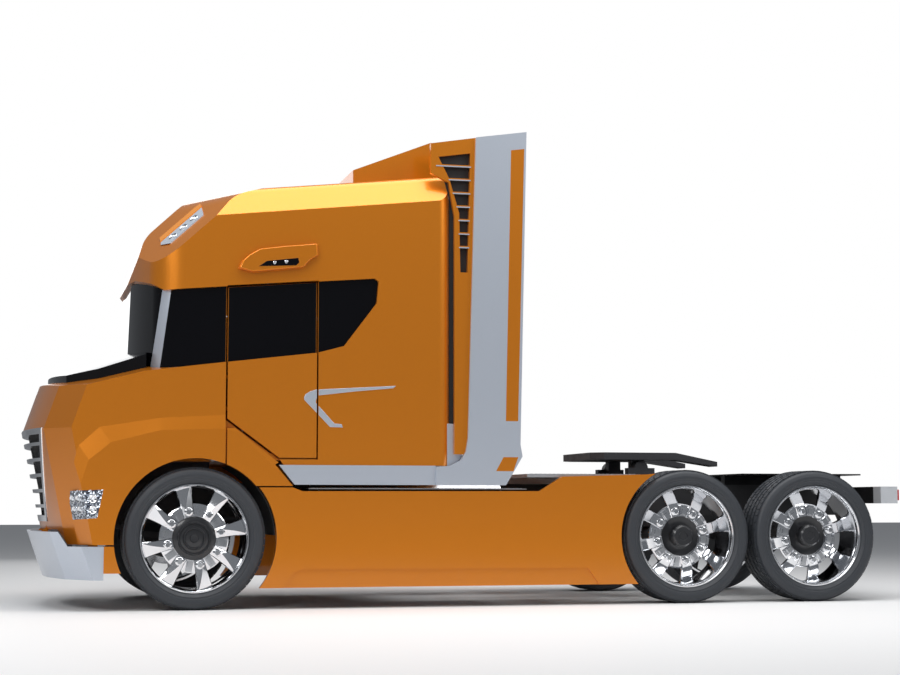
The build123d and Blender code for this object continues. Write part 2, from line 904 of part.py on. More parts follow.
# Doors: the whole wall's thickness inside the door's outline, with the window cut
wall_inner = body_half_width - cab_wall
door_inner = wall_inner + panel_gap / 2
opening = side_slab(cab_points(door_shares), wall_inner - panel_gap / 2, far, panel_gap / 2)
door_slab = side_slab(cab_points(door_shares), door_inner, far, -panel_gap / 2)
door_window = side_slab(cab_points(door_glass_shares), near, far, -window_border)
door_panel = shell & door_slab
door_panel = door_panel - door_window
door_edge = cab_front + door_shares[0][0] * cab_length
hinge_x = door_edge + door_hinge_back
hinge_y = body_half_width - door_hinge_depth
notch_end = door_edge + door_notch_length
skin_inner = body_half_width - door_skin
arm_outer = door_inner + hinge_arm_width
hinge_arms = []
for level in door_hinge_heights:
    low = level - door_notch_half
    high = level + door_notch_half
    notch_start = door_edge - panel_gap
    door_panel = door_panel - block(notch_start, notch_end, -skin_inner, -door_inner + panel_gap, low, high)
    with BuildPart() as hinge_pin:
        with BuildSketch(Plane.XY.offset(low)):
            with Locations((hinge_x, -hinge_y)):
                Circle(door_pin_radius)
        extrude(amount=high - low)
    door_panel = door_panel + hinge_pin.part
    with BuildPart() as hinge_arm:
        with BuildSketch(Plane.XY.offset(level - hinge_arm_half)):
            with BuildLine():
                Polyline(
                    (door_edge - 2 * panel_gap, -door_inner),
                    (hinge_x + door_ring_radius, -door_inner),
                    (hinge_x + door_ring_radius, -hinge_y),
                    (hinge_x - door_ring_radius, -hinge_y),
                    (hinge_x - door_ring_radius, -arm_outer),
                    (door_edge - 2 * panel_gap, -arm_outer),
                    close=True,
                )
            make_face()
            with Locations((hinge_x, -hinge_y)):
                Circle(door_ring_radius)
                Circle(door_pin_radius + shaft_clearance, mode=Mode.SUBTRACT)
        extrude(amount=2 * hinge_arm_half)
    hinge_arms.append(hinge_arm.part)
save("door_left", door_panel)
save("door_right", mirror(door_panel, Plane.XZ))
door_glass = glass_layer & side_slab(cab_points(door_glass_shares), near, far)
save("door_glass_left", door_glass)
save("door_glass_right", mirror(door_glass, Plane.XZ))

# Fixed glass: windshield, quarter and rear side panes, and the bright post trim between
quarter = side_slab(cab_points(quarter_glass_shares), near, far)
rear_pane = side_slab(cab_points(rear_glass_shares), near, far)
post_strip = side_slab(cab_points(post_trim_shares), near, far)
front_pane = cross_slab(cab_points(windshield_shares), far)
save("post_trim", both_sides(glass_layer & post_strip))
save("cab_glass", both_sides(glass_layer & (quarter + rear_pane)) + (glass_layer & front_pane))

# Walls of the cab, parted at the roof seam, the rear corners and the front posts
windows = side_slab(cab_points(quarter_glass_shares), near, far, -window_border)
windows = windows + side_slab(cab_points(rear_glass_shares), near, far, -window_border)
front_window = cross_slab(cab_points(windshield_shares), far, -window_border)
walls = shell - both_sides(opening) - both_sides(windows) - front_window
cab_rear = cab_front + cab_length
floor_top = cab_base + cab_wall
lot = 2 * cab_height
above_seam = block(cab_front - lot, cab_rear + lot, -lot, lot, cab_seam_height, lot + cab_seam_height)
save("cab_roof", walls & above_seam)
rear_x = cab_rear - cab_rear_corner
save("cab_back_wall", walls & block(rear_x, cab_rear + lot, -lot, lot, floor_top, cab_seam_height))
front_x = cab_front + cab_post_depth
save("cab_front", walls & block(cab_front - lot, front_x, -lot, lot, floor_top, cab_seam_height))
side_walls = walls & block(front_x, rear_x, -lot, lot, floor_top, cab_seam_height)
save("cab_sides", side_walls + both_sides(hinge_arms[0] + hinge_arms[1]))
tunnel_half = engine_half + tunnel_clearance
tunnel_rear = engine_rear + tunnel_clearance
tunnel_top = engine_top + tunnel_clearance
wall = tunnel_wall
tunnel = block(cab_front, tunnel_rear + wall, -tunnel_half - wall, tunnel_half + wall, floor_top, tunnel_top + wall)
tunnel = (tunnel & hollow) - engine_bay
cab_feet = []
for run in cab_foot_runs:
    start = front_axle_x + run
    cab_feet.append(block(start, start + cab_foot_length, -web, -rail_half_gap, rail_top, cab_base))
floor = (walls & block(cab_front - lot, cab_rear + lot, -lot, lot, 0, floor_top)) + tunnel
save("cab_floor", floor + both_sides(cab_feet[0] + cab_feet[1]))

# Hood: bowed nose, crowned top, side walls that lap over the cab, and the flares round the arches
seam = cross_slab(hood_points(hood_seam_shares), far)
foot = cross_slab(hood_points(hood_foot_shares), far)
arch = both_sides(side_cylinder(front_axle_x, axle_height, front_arch_radius, engine_width, 2 * body_half_width))
cab_clear = cab_form(glass_depth - hood_gap)
with BuildPart() as bevel:
    for shares, out in ((bevel_shares, body_half_width - bevel_seat), (flare_shares, flare_half_width)):
        with BuildSketch(Plane.XZ.offset(out)):
            with BuildLine():
                Polyline(*hood_points(shares), close=True)
            make_face()
    loft(ruled=True)
flare = side_slab(hood_points(flare_shares), flare_half_width - flare_depth, flare_half_width) + bevel.part
flare_form = hood_form(-flare_proud)
flare = flare & flare_form
hood_inner = hood_form(hood_wall)
nose_opening = [
    (-grille_top_half, grille_top),
    (grille_top_half, grille_top),
    (grille_bottom_half, grille_bottom),
    (-grille_bottom_half, grille_bottom),
]
with BuildPart() as grille_hole:
    with BuildSketch(Plane.YZ.offset(hood_start - cut_overrun)):
        with BuildLine():
            Polyline(*nose_opening, close=True)
        make_face()
    extrude(amount=2 * cut_overrun + grille_depth)
with BuildPart() as grille_inside:
    with BuildSketch(Plane.YZ.offset(hood_start - cut_overrun)):
        with BuildLine():
            Polyline(*nose_opening, close=True)
        make_face()
        offset(amount=-grille_frame, kind=Kind.INTERSECTION)
    extrude(amount=2 * cut_overrun + grille_depth)
lens_slab = side_slab(hood_points(headlamp_shares), flare_half_width - flare_depth, far)
lens_slab = lens_slab - hood_form(headlamp_thickness - flare_proud)
hood = (hood_form(0) + both_sides(flare)) - hood_inner - seam - foot - arch - cab_clear
hood = hood - grille_hole.part - both_sides(lens_slab)
hood_lug_points = [
    (hood_hinge_x - hood_lug_share * hood_ring_radius, hood_hinge_z + hood_ring_radius / 2),
    (hood_hinge_x + hood_ring_radius, hood_hinge_z + hood_lug_rise - hood_ring_radius),
    (hood_hinge_x + hood_ring_radius, hood_hinge_z + hood_lug_rise),
    (hood_hinge_x + hood_ring_radius + hood_lug_depth, hood_hinge_z + hood_lug_rise),
    (hood_hinge_x + hood_ring_radius, hood_hinge_z - hood_pin_radius),
    (hood_hinge_x, hood_hinge_z),
]
hood_lug = side_slab(hood_lug_points, hood_lug_inner, hood_lug_outer)
hood_ring = side_cylinder(hood_hinge_x, hood_hinge_z, hood_ring_radius, hood_lug_inner, hood_lug_outer)
hood_lug = hood_lug + hood_ring
hood_bore_radius = hood_pin_radius + shaft_clearance
hood_bore = side_cylinder(hood_hinge_x, hood_hinge_z, hood_bore_radius, hood_lug_inner, hood_lug_outer)
save("hood", hood + both_sides(hood_lug - hood_bore))

# Tails of the front wings under the doors' slanted edges, and the wings' tips behind the bumper: fixed
tail_outline = side_slab(hood_points(wing_tail_shares), body_half_width - recess_depth, far)
wing_tail = side_slab(hood_points(wing_tail_shares), body_half_width - recess_depth, body_half_width)
wing_tail = (wing_tail + (flare & tail_outline)) - foot - arch
wing_tip = block(
    front_axle_x - bumper_end,
    front_axle_x,
    -flare_half_width,
    flare_depth - flare_half_width,
    hood_base,
    bumper_side_top,
)
save("wing_tails", both_sides(wing_tail) + both_sides(wing_tip - arch))

# Grille: bright frame and level bars, bowed like the nose
grille_layer = hood_form(-grille_proud) - hood_form(grille_depth)
bars = (grille_layer & grille_hole.part) - grille_inside.part
bar_pitch = (grille_top - grille_bottom) / (grille_bar_count + 1)
for row in range(grille_bar_count):
    z = grille_bottom + (row + 1) * bar_pitch
    bar_low = z - grille_bar_height / 2
    bar_high = z + grille_bar_height / 2
    level = block(hood_start - cut_overrun, hood_start + far, -far, far, bar_low, bar_high)
    bars = bars + (grille_layer & grille_inside.part & level)
save("grille", bars)

# Headlamps: clear blocks set into the front corners of the flares
save("headlamps", both_sides(lens_slab & flare_form))

# Scuttle cover: a crowned lid on the hood in front of the windshield
cover_end = front_axle_x + cover_rear_run
cover_start = front_axle_x + cover_front_run
cover = crown_run(cover_start, cover_height, cover_climb_share, cover_crown, cover_half_width)
with BuildPart() as cover_plan:
    add(nose_plan(cover_height - hood_crown, cover_start, cover_end, cover_half_width, 0))
    extrude(amount=lot)
cover = cover & cover_plan.part
save("scuttle_cover", cover - hood_form(-seat_clearance) - cab_clear)

# Bumper: a bowed shell of even wall, stepped down at the sides
def bumper_form(inset):
    rear = front_axle_x - bumper_end + inset
    levels = [(bumper_bottom, bumper_front_bottom), (bumper_top, bumper_front_top)]
    with BuildPart() as form:
        for level, reach in levels:
            add(nose_plan(level, front_axle_x - reach, rear, bumper_half_width, inset))
        loft(ruled=True)
    return form.part


bumper_step = [
    (front_axle_x - bumper_step_front, bumper_top + cut_overrun),
    (front_axle_x - bumper_step_front, bumper_top),
    (front_axle_x - bumper_step_rear, bumper_side_top),
    (front_axle_x, bumper_side_top),
    (front_axle_x, bumper_top + cut_overrun),
]
bumper = bumper_form(0) - bumper_form(bumper_wall) - cross_slab(bumper_step, far)
bracket_end = rail_front + bracket_length
bracket_top = bracket_base + bracket_thickness
hanger = block(rail_front, bracket_end, -web, -rail_half_gap, bracket_base, rail_bottom)
arm = block(front_axle_x - bumper_front_top, bracket_end, -web, -rail_half_gap, bracket_base, bracket_top)
arm = (arm & bumper_form(0)) + side_cylinder(hood_hinge_x, hood_hinge_z, hood_pin_radius, web, hood_pin_end)
save("bumper", bumper + both_sides(hanger + arm))

# Skirts: long side panels between the arches
skirt = side_slab(skirt_points(skirt_shares), flare_half_width - skirt_wall, flare_half_width)
skirt = skirt - side_cylinder(front_axle_x, axle_height, front_arch_radius + panel_gap, 0, far)
skirt = skirt - side_cylinder(rear_axle_xs[0], axle_height, rear_arch_radius, 0, far)
skirt = skirt - side_slab(skirt_points(skirt_recess_shares), flare_half_width - skirt_recess_depth, far)
save("skirts", both_sides(skirt))

# Sills: bright bands under the doors
sill_points = [
    (sill_start, sill_top),
    (sill_start + sill_slope, sill_bottom),
    (sill_joint, sill_bottom),
    (sill_joint, sill_top),
]
save("sills", both_sides(side_slab(sill_points, sill_half_width - sill_wall, sill_half_width)))

# Catwalks: walkway plates from the frame rails out to the skirts
skirt_inner = flare_half_width - skirt_wall
under = catwalk_top - catwalk_thickness
catwalk = block(catwalk_start, catwalk_end, -skirt_inner, -rail_half_gap, under, catwalk_top)
catwalk = catwalk + block(catwalk_start, catwalk_end, -web, -rail_half_gap, rail_top, under)

# Side deflectors with their coloured inlays
deflector_inner = deflector_half_width - deflector_wall
deflector = side_slab(deflector_points(deflector_shares), deflector_inner, deflector_half_width)
inlay_inner = deflector_half_width - inlay_depth
pocket = side_slab(deflector_points(inlay_shares), inlay_inner, far)
pocket = pocket + side_slab(deflector_points(foot_inlay_shares), inlay_inner, far)
save("side_deflectors", both_sides(deflector - pocket))
inlay = side_slab(deflector_points(inlay_shares), inlay_inner, deflector_half_width)
inlay = inlay + side_slab(deflector_points(foot_inlay_shares), inlay_inner, deflector_half_width)
save("deflector_inlays", both_sides(inlay))

# Columns between cab and deflectors, with the louvre openings and their slats
column_inner = column_half_width - column_wall
column = side_slab(deflector_points(column_shares), column_inner, column_half_width)
column = column - side_slab(deflector_points(deflector_shares), 0, far)
louvre = side_slab(deflector_points(louvre_shares), 0, far)
slats = column - louvre
slat_end = deflector_start + deflector_length
for row in range(slat_count):
    z = deflector_base + (slat_top_share - row * slat_pitch_share) * deflector_height
    slat_inner = slat_depth - column_half_width
    bar = block(deflector_start, slat_end, -column_half_width, slat_inner, z, z + slat_height)
    slats = slats + (bar & louvre)
save("columns", both_sides(slats))

# Roof deflector: a wedge that rises from the roof to the height of the columns
wedge_points = [
    (wedge_start, wedge_low),
    (wedge_start, wedge_lip),
    (wedge_ridge, wedge_top),
    (wedge_end, wedge_top),
    (wedge_end, wedge_low),
]
save("roof_deflector", cross_slab(wedge_points, wedge_half_width) - cab_form(-seat_clearance))

# Roof lamps and the camera pods over the side windows
lamp_layer = cab_form(-lamp_thickness) - cab_form(-seat_clearance)
clear_lamp = side_slab(cab_points(lamp_run_shares), lamp_inner, lamp_outer)
marker = side_slab(cab_points(lamp_run_shares), marker_inner, marker_outer)
save("roof_lamps", both_sides((lamp_layer & clear_lamp) + (lamp_layer & marker)))
pod = side_slab(cab_points(pod_shares), body_half_width, body_half_width + pod_thickness)
save("camera_pods", both_sides(pod))

# Fifth wheel: a base across the rails, and a plate that rocks on two pivot pins
with BuildPart() as fifth_base:
    base_front = fifth_wheel_x - pedestal_length
    base_rear = fifth_wheel_x + pedestal_length
    add(block(base_front, base_rear, -web, web, rail_top, rail_top + base_thickness))
    for side in (-1, 1):
        foot_y = sorted((side * pedestal_inner, side * pedestal_outer))
        half = pedestal_length / 2
        add(block(fifth_wheel_x - half, fifth_wheel_x + half, foot_y[0], foot_y[1], rail_top, pivot_height))
        add(side_cylinder(fifth_wheel_x, pivot_height, 2 * pivot_radius, *sorted((-foot_y[0], -foot_y[1]))))
pivot_bore = side_cylinder(fifth_wheel_x, pivot_height, pivot_radius, -far, far)
save("fifth_wheel_base", fifth_base.part - pivot_bore)

plate_bottom = fifth_wheel_top - fifth_wheel_plate
rear_x5 = fifth_wheel_x + fifth_wheel_rear
plate_points = [
    (fifth_wheel_x - fifth_wheel_front, -fifth_wheel_half_width + throat_start),
    (fifth_wheel_x - fifth_wheel_front + throat_start, -fifth_wheel_half_width),
    (rear_x5, -fifth_wheel_half_width),
    (rear_x5, -throat_half_width),
    (fifth_wheel_x + throat_start, -throat_root),
]
mirrored = [(x, -y) for x, y in reversed(plate_points)]
with BuildPart() as plate:
    with BuildSketch(Plane.XY.offset(plate_bottom)):
        with BuildLine():
            Polyline(*plate_points, *mirrored, close=True)
        make_face()
        with Locations((fifth_wheel_x, 0)):
            Circle(kingpin_bore_radius, mode=Mode.SUBTRACT)
    extrude(amount=fifth_wheel_plate)
    for side in (-1, 1):
        ramp = [
            (rear_x5, fifth_wheel_top),
            (rear_x5 + ramp_length, fifth_wheel_top - ramp_drop),
            (rear_x5 + ramp_length, fifth_wheel_top - ramp_drop - ramp_thickness),
            (rear_x5, plate_bottom),
        ]
        span = sorted((-side * fifth_wheel_half_width, -side * (fifth_wheel_half_width - ramp_width)))
        add(side_slab(ramp, *span))
        span = sorted((side * boss_inner, side * boss_outer))
        half = boss_length / 2
        add(block(fifth_wheel_x - half, fifth_wheel_x + half, span[0], span[1], pivot_height, plate_bottom))
        add(side_cylinder(fifth_wheel_x, pivot_height, half, *span))
        pin = sorted((side * boss_outer, side * pedestal_outer))
        add(side_cylinder(fifth_wheel_x, pivot_height, pivot_radius - shaft_clearance, *pin))
save("fifth_wheel_plate", plate.part)

# Rear deck: black plates over the frame between the rear wheels
deck = block(deck_start, rail_end, -deck_half_width, deck_half_width, deck_top - deck_thickness, deck_top)
deck_under = deck_top - deck_thickness
deck = deck + both_sides(block(deck_start, rail_end, -web, -rail_half_gap, rail_top, deck_under))
save("walkways", both_sides(catwalk) + deck)

# Tail bar with its lamps
tail_end = front_axle_x + tail_reach
bar_end = tail_end - tail_lamp_thickness
bar_half = tail_bar_half_width
save("tail_bar", block(tail_bar_start, bar_end, -bar_half, bar_half, tail_bar_bottom, tail_bar_top))
lamp_low = (tail_bar_bottom + tail_bar_top - tail_lamp_height) / 2
lamp_high = lamp_low + tail_lamp_height
tail_lamp = block(bar_end, tail_end, -bar_half, tail_lamp_width - bar_half, lamp_low, lamp_high)
save("tail_lamps", both_sides(tail_lamp))

# Seats, dashboard, steering wheel and bunk
seat_bottom = floor_top
seat_y0 = -seat_offset - seat_width / 2
seat_y1 = -seat_offset + seat_width / 2
seat_top = seat_bottom + seat_height
seat_end = seat_x + seat_depth
with BuildPart() as seat:
    add(block(seat_x, seat_end, seat_y0, seat_y1, seat_top - seat_cushion, seat_top))
    add(block(seat_end - seat_back, seat_end, seat_y0, seat_y1, seat_top, seat_top + seat_back_height))
    foot_front = seat_x + seat_foot_inset
    foot_rear = seat_end - seat_foot_inset
    foot_left = seat_y0 + seat_foot_inset
    foot_right = seat_y1 - seat_foot_inset
    add(block(foot_front, foot_rear, foot_left, foot_right, seat_bottom, seat_top - seat_cushion))
dash_half = body_half_width - cab_wall - panel_gap
dash_front = cab_front + cab_wall
dash_box = block(dash_front, dash_front + dash_depth, -dash_half, dash_half, dash_top - dash_height, dash_top)
dash_box = (dash_box & cab_form(cab_wall + panel_gap)) - engine_bay
tunnel_end = tunnel_rear + wall
tunnel_side = tunnel_half + wall
dash_box = dash_box - block(cab_front, tunnel_end, -tunnel_side, tunnel_side, 0, tunnel_top + wall)
bunk = block(rear_x - bunk_depth, rear_x, -dash_half, dash_half, floor_top, floor_top + bunk_height)
save("seats", both_sides(seat.part) + bunk)
column_plane = Plane(
    origin=(steering_x, -seat_offset, steering_z),
    z_dir=(1, 0, steering_rise_share),
    x_dir=(0, 1, 0),
)
with BuildPart() as steering:
    with BuildSketch(column_plane):
        Circle(steering_radius)
        Circle(steering_radius - 2 * steering_ring, mode=Mode.SUBTRACT)
        Rectangle(2 * steering_radius - 2 * steering_ring, 2 * steering_ring)
    extrude(amount=2 * steering_ring)
    with BuildSketch(column_plane):
        Circle(2 * steering_ring)
    extrude(amount=floor_top - steering_z - dash_depth)
below_floor = block(cab_front, cab_rear, -far, far, 0, floor_top)
save("dashboard", dash_box + (steering.part - below_floor))
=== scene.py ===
import bmesh
import bpy
import math
from mathutils import Matrix, Vector


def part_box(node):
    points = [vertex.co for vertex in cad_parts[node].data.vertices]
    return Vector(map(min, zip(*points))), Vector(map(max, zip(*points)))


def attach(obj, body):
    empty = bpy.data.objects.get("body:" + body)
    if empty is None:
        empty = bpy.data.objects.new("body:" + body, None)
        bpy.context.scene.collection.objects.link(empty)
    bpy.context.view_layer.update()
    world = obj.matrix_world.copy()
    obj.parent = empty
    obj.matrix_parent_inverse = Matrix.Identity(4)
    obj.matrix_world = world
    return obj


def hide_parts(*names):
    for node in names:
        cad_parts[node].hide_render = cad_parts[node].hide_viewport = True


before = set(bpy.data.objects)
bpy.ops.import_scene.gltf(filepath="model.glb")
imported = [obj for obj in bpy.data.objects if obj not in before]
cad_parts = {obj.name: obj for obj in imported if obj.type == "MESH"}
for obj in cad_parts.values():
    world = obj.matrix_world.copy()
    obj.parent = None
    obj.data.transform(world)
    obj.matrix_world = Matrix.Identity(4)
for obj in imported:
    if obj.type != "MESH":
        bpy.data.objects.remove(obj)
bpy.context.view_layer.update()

# Studio: a pale seamless floor under a white room, lit by large soft panels overhead and at
# the sides. The camera stands low, off the truck's left.
scene = bpy.context.scene
scene.view_settings.view_transform = "Standard"
camera_data = bpy.data.cameras.new("camera")
camera_data.sensor_fit = "HORIZONTAL"
camera_data.sensor_width = 36
camera_data.lens = 70.22
camera_data.clip_end = 200
camera = bpy.data.objects.new("camera", camera_data)
camera.location = (-3.725, -14.544, 0.781)
camera_rise = 5.47
camera_swing = -14.30
camera.rotation_euler = (math.radians(90 + camera_rise), 0, math.radians(camera_swing))
scene.collection.objects.link(camera)
scene.camera = camera


class Wire:
    """An output of a tree's node; arithmetic on it adds Math nodes."""

    def __init__(self, book, socket):
        self.book = book
        self.socket = socket

    def calc(self, operation, *others):
        return self.book.node("ShaderNodeMath", {"operation": operation}, dict(enumerate((self, *others))))

    def __add__(self, other):
        return self.calc("ADD", other)

    def __mul__(self, other):
        return self.calc("MULTIPLY", other)

    def __gt__(self, other):
        return self.calc("GREATER_THAN", other)

    def __lt__(self, other):
        return self.calc("LESS_THAN", other)

    def __abs__(self):
        return self.calc("ABSOLUTE")

    __radd__ = __add__
    __rmul__ = __mul__


class NodeBook:
    """One node tree; node() adds a node with its settings, then its values or links."""

    def __init__(self, tree):
        self.tree = tree

    def node(self, kind, settings, inputs, output=0):
        made = self.tree.nodes.new(kind)
        for key, value in settings.items():
            setattr(made, key, value)
        for key, value in inputs.items():
            if isinstance(value, Wire):
                self.tree.links.new(value.socket, made.inputs[key])
            else:
                made.inputs[key].default_value = value
        return Wire(self, made.outputs[output])


class Finish(NodeBook):
    """A material: constants set on the Principled shader, and nodes for what varies."""

    def __init__(self, name, colour, roughness, metallic=0.0, **constants):
        self.material = bpy.data.materials.new(name)
        self.material.use_nodes = True
        super().__init__(self.material.node_tree)
        self.shader = self.tree.nodes["Principled BSDF"]
        self.set("Base Color", (*colour, 1))
        self.set("Roughness", roughness)
        self.set("Metallic", metallic)
        for key, value in constants.items():
            self.set(key.replace("_", " "), value)

    def set(self, socket, value):
        target = self.shader.inputs[socket]
        if isinstance(value, Wire):
            self.tree.links.new(value.socket, target)
        else:
            target.default_value = value

    def place(self):
        return self.node("ShaderNodeTexCoord", {}, {}, "Object")

    def noise(self, scale, detail=3.0, stretch=(1, 1, 1)):
        spot = self.node("ShaderNodeMapping", {}, {"Vector": self.place(), "Scale": stretch})
        return self.node("ShaderNodeTexNoise", {}, {"Vector": spot, "Scale": scale, "Detail": detail}, "Fac")

    def along(self, axis):
        """The place along one axis, in metres."""
        return self.node("ShaderNodeSeparateXYZ", {}, {0: self.place()}, axis)

    def blend(self, amount, first, second):
        both = {"Factor": amount, 6: (*first, 1), 7: (*second, 1)}
        return self.node("ShaderNodeMix", {"data_type": "RGBA"}, both, 2)

    def bump(self, height, depth, strength=1.0):
        return self.node("ShaderNodeBump", {}, {"Height": height, "Distance": depth, "Strength": strength})


def panel_light(name, place, target, width, depth, power):
    lamp = bpy.data.lights.new(name, "AREA")
    lamp.shape = "RECTANGLE"
    lamp.size = width
    lamp.size_y = depth
    lamp.energy = power
    holder = bpy.data.objects.new(name, lamp)
    holder.location = place
    holder.rotation_euler = (Vector(target) - Vector(place)).to_track_quat("-Z", "Y").to_euler()
    scene.collection.objects.link(holder)


panel_light("overhead", (0, -2, 8), (0, 0, 0), 12, 6, 900)
panel_light("front_left", (-8, -9, 7), (-1, 0, 1.5), 6, 3, 420)
panel_light("rear_left", (8, -8, 7), (1, 0, 1.5), 5, 3, 220)
panel_light("far_side", (0, 11, 5), (0, 0, 1.5), 8, 5, 200)

world = bpy.data.worlds.new("room")
world.use_nodes = True
scene.world = world
room = NodeBook(world.node_tree)
soft_air = room.node("ShaderNodeBackground", {}, {"Color": (0.80, 0.84, 0.90, 1), "Strength": 0.24})
backdrop = room.node("ShaderNodeBackground", {}, {"Color": (1, 1, 1, 1), "Strength": 1})
straight = room.node("ShaderNodeLightPath", {}, {}, "Is Camera Ray")
seen = room.node("ShaderNodeMixShader", {}, {0: straight, 1: soft_air, 2: backdrop})
world.node_tree.links.new(seen.socket, world.node_tree.nodes["World Output"].inputs["Surface"])

floor_half = 60
floor_mesh = bpy.data.meshes.new("floor")
corners = [(x * floor_half, y * floor_half, 0) for x, y in ((-1, -1), (1, -1), (1, 1), (-1, 1))]
floor_mesh.from_pydata(corners, [], [(0, 1, 2, 3)])
floor = bpy.data.objects.new("floor", floor_mesh)
scene.collection.objects.link(floor)
floor_finish = Finish("studio_floor", (0.80, 0.80, 0.80), 0.6)
floor_mesh.materials.append(floor_finish.material)


# Chassis: a welded ladder of pressed steel channels with forged axles, all under black enamel
# that has dulled with road dust. The tanks and walkways are brushed alloy.
def coat(finish, *nodes):
    """Gives CAD nodes their finish."""
    for node in nodes:
        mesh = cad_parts[node].data
        mesh.materials.clear()
        mesh.materials.append(finish.material)


black_enamel = Finish("black_enamel", (0.018, 0.018, 0.02), 0.45)
black_enamel.set("Roughness", 0.35 + 0.3 * black_enamel.noise(6.0))
black_enamel.set("Normal", black_enamel.bump(black_enamel.noise(90.0), 0.0006, 0.4))
coat(black_enamel, "frame", "radiator")
cast_steel = Finish("cast_steel", (0.06, 0.06, 0.065), 0.55, 0.6)
cast_steel.set("Normal", cast_steel.bump(cast_steel.noise(160.0), 0.0008, 0.6))
cast_steel.set("Roughness", 0.4 + 0.35 * cast_steel.noise(9.0))
coat(cast_steel, "springs", "front_axle", "drive_axles", "drive_shaft", "engine")
coat(cast_steel, "knuckle_left", "knuckle_right", "fifth_wheel_base", "fifth_wheel_plate")
tank_alloy = Finish("tank_alloy", (0.6, 0.61, 0.63), 0.3, 1.0)
tank_alloy.set("Roughness", 0.2 + 0.25 * tank_alloy.noise(12.0, 2.0, (0.1, 1, 1)))
coat(tank_alloy, "fuel_tanks")


# Wheels: forged alloy, turned and polished. Eight spokes run out from a ring of nuts; the
# front ones are folded along a slanting ridge, the rear ones curve back into a deep dish.
class Form:
    """The points and faces of one piece while it is put together."""

    def __init__(self):
        self.points = []
        self.faces = []

    def add(self, points, faces):
        first = len(self.points)
        self.points += [tuple(point) for point in points]
        self.faces += [tuple(first + corner for corner in face) for face in faces]
        return self

    def loft(self, sections, caps=True, closed=False):
        """Skins rows of points; each row is a closed outline, and the rows may close into a ring."""
        count = len(sections[0])
        rows = len(sections)
        faces = []
        for row in range(rows if closed else rows - 1):
            here = row * count
            after = (row + 1) % rows * count
            for corner in range(count):
                beside = (corner + 1) % count
                faces.append((here + corner, here + beside, after + beside, after + corner))
        if caps and not closed:
            faces.append(tuple(range(count)))
            faces.append(tuple((rows - 1) * count + corner for corner in range(count)))
        return self.add([point for section in sections for point in section], faces)

    def turn(self, outline, steps):
        """Turns a closed outline of (radius, y) points about the Y axis."""
        angles = [2 * math.pi * step / steps for step in range(steps)]
        sections = [[(r * math.cos(a), y, r * math.sin(a)) for r, y in outline] for a in angles]
        return self.loft(sections, closed=True)

    def join(self, form):
        return self.add(form.points, form.faces)

    def placed(self, matrix):
        self.points = [tuple(matrix @ Vector(point)) for point in self.points]
        return self

    def swung(self, angle):
        """Swings it about a wheel's axle."""
        return self.placed(Matrix.Rotation(-angle, 4, "Y"))

    def with_mirror(self):
        """Adds the same piece on the truck's other side."""
        twins = [(x, -y, z) for x, y, z in self.points]
        return self.add(twins, [tuple(reversed(face)) for face in self.faces])

    def make(self, name, finish, body, slot, *nodes, bevel=0.0, smooth=35):
        """Turns it into an object that rides on a body and stands for CAD nodes."""
        mesh = bpy.data.meshes.new(name)
        mesh.from_pydata(self.points, [], self.faces)
        weld = 0.00002
        skin = bmesh.new()
        skin.from_mesh(mesh)
        bmesh.ops.remove_doubles(skin, verts=skin.verts, dist=weld)
        bmesh.ops.dissolve_degenerate(skin, dist=weld, edges=skin.edges)
        bmesh.ops.recalc_face_normals(skin, faces=skin.faces)
        skin.to_mesh(mesh)
        skin.free()
        mesh.shade_smooth()
        mesh.set_sharp_from_angle(angle=math.radians(smooth))
        mesh.materials.append(finish.material)
        made = bpy.data.objects.new(name, mesh)
        scene.collection.objects.link(made)
        if bevel:
            edge = made.modifiers.new("edge", "BEVEL")
            edge.width = bevel
            edge.segments = 2
            edge.limit_method = "ANGLE"
            edge.angle_limit = math.radians(smooth)
            edge.harden_normals = True
        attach(made, body)
        if nodes:
            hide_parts(*nodes)


polished_alloy = Finish("polished_alloy", (0.76, 0.77, 0.79), 0.12, 1.0)
polished_alloy.set("Roughness", 0.05 + 0.1 * polished_alloy.noise(14.0))
hub_black = Finish("hub_black", (0.02, 0.021, 0.024), 0.3, 0.2, Coat_Weight=0.4)
hub_black.set("Roughness", 0.25 + 0.2 * hub_black.noise(18.0))
wheel_steps = 96
spoke_count = 8
spoke_pitch = 2 * math.pi / spoke_count
spoke_lead = math.radians(13)
ring_inner = 0.160
ring_outer = 0.262
ring_thickness = 0.030
# Inner reach, outer reach, half width and rise of the steps between two nuts
web_table = ((0.170, 0.252, 0.026, 0.012), (0.178, 0.222, 0.017, 0.022), (0.230, 0.246, 0.020, 0.017))
nut_reach = 0.204
nut_radius = 0.021
nut_top_share = 0.93
rim_outline = [
    (0.411, -0.156), (0.411, -0.165), (0.408, -0.168), (0.400, -0.168), (0.394, -0.161),
    (0.386, -0.146), (0.380, -0.120), (0.380, 0.150), (0.395, 0.168), (0.411, 0.168),
    (0.411, 0.156), (0.392, 0.156), (0.392, -0.156),
]
front_hub_outline = [
    (0, -0.140), (0.030, -0.141), (0.034, -0.136), (0.068, -0.133), (0.073, -0.146), (0.082, -0.146),
    (0.087, -0.135), (0.108, -0.131), (0.113, -0.142), (0.121, -0.142), (0.127, -0.132), (0.155, -0.127),
    (0.165, -0.120), (0.165, -0.088), (0.205, -0.088), (0.205, -0.026), (0, -0.026),
]
rear_hub_outline = [
    (0, -0.080), (0.034, -0.080), (0.038, -0.086), (0.072, -0.086), (0.085, -0.076), (0.085, -0.060),
    (0.088, -0.058), (0.088, -0.040), (0.085, -0.038), (0.085, 0.010), (0.120, 0.016), (0.160, 0.004),
    (0.165, -0.014), (0.168, 0.042), (0.205, 0.042), (0.205, 0.150), (0, 0.150),
]


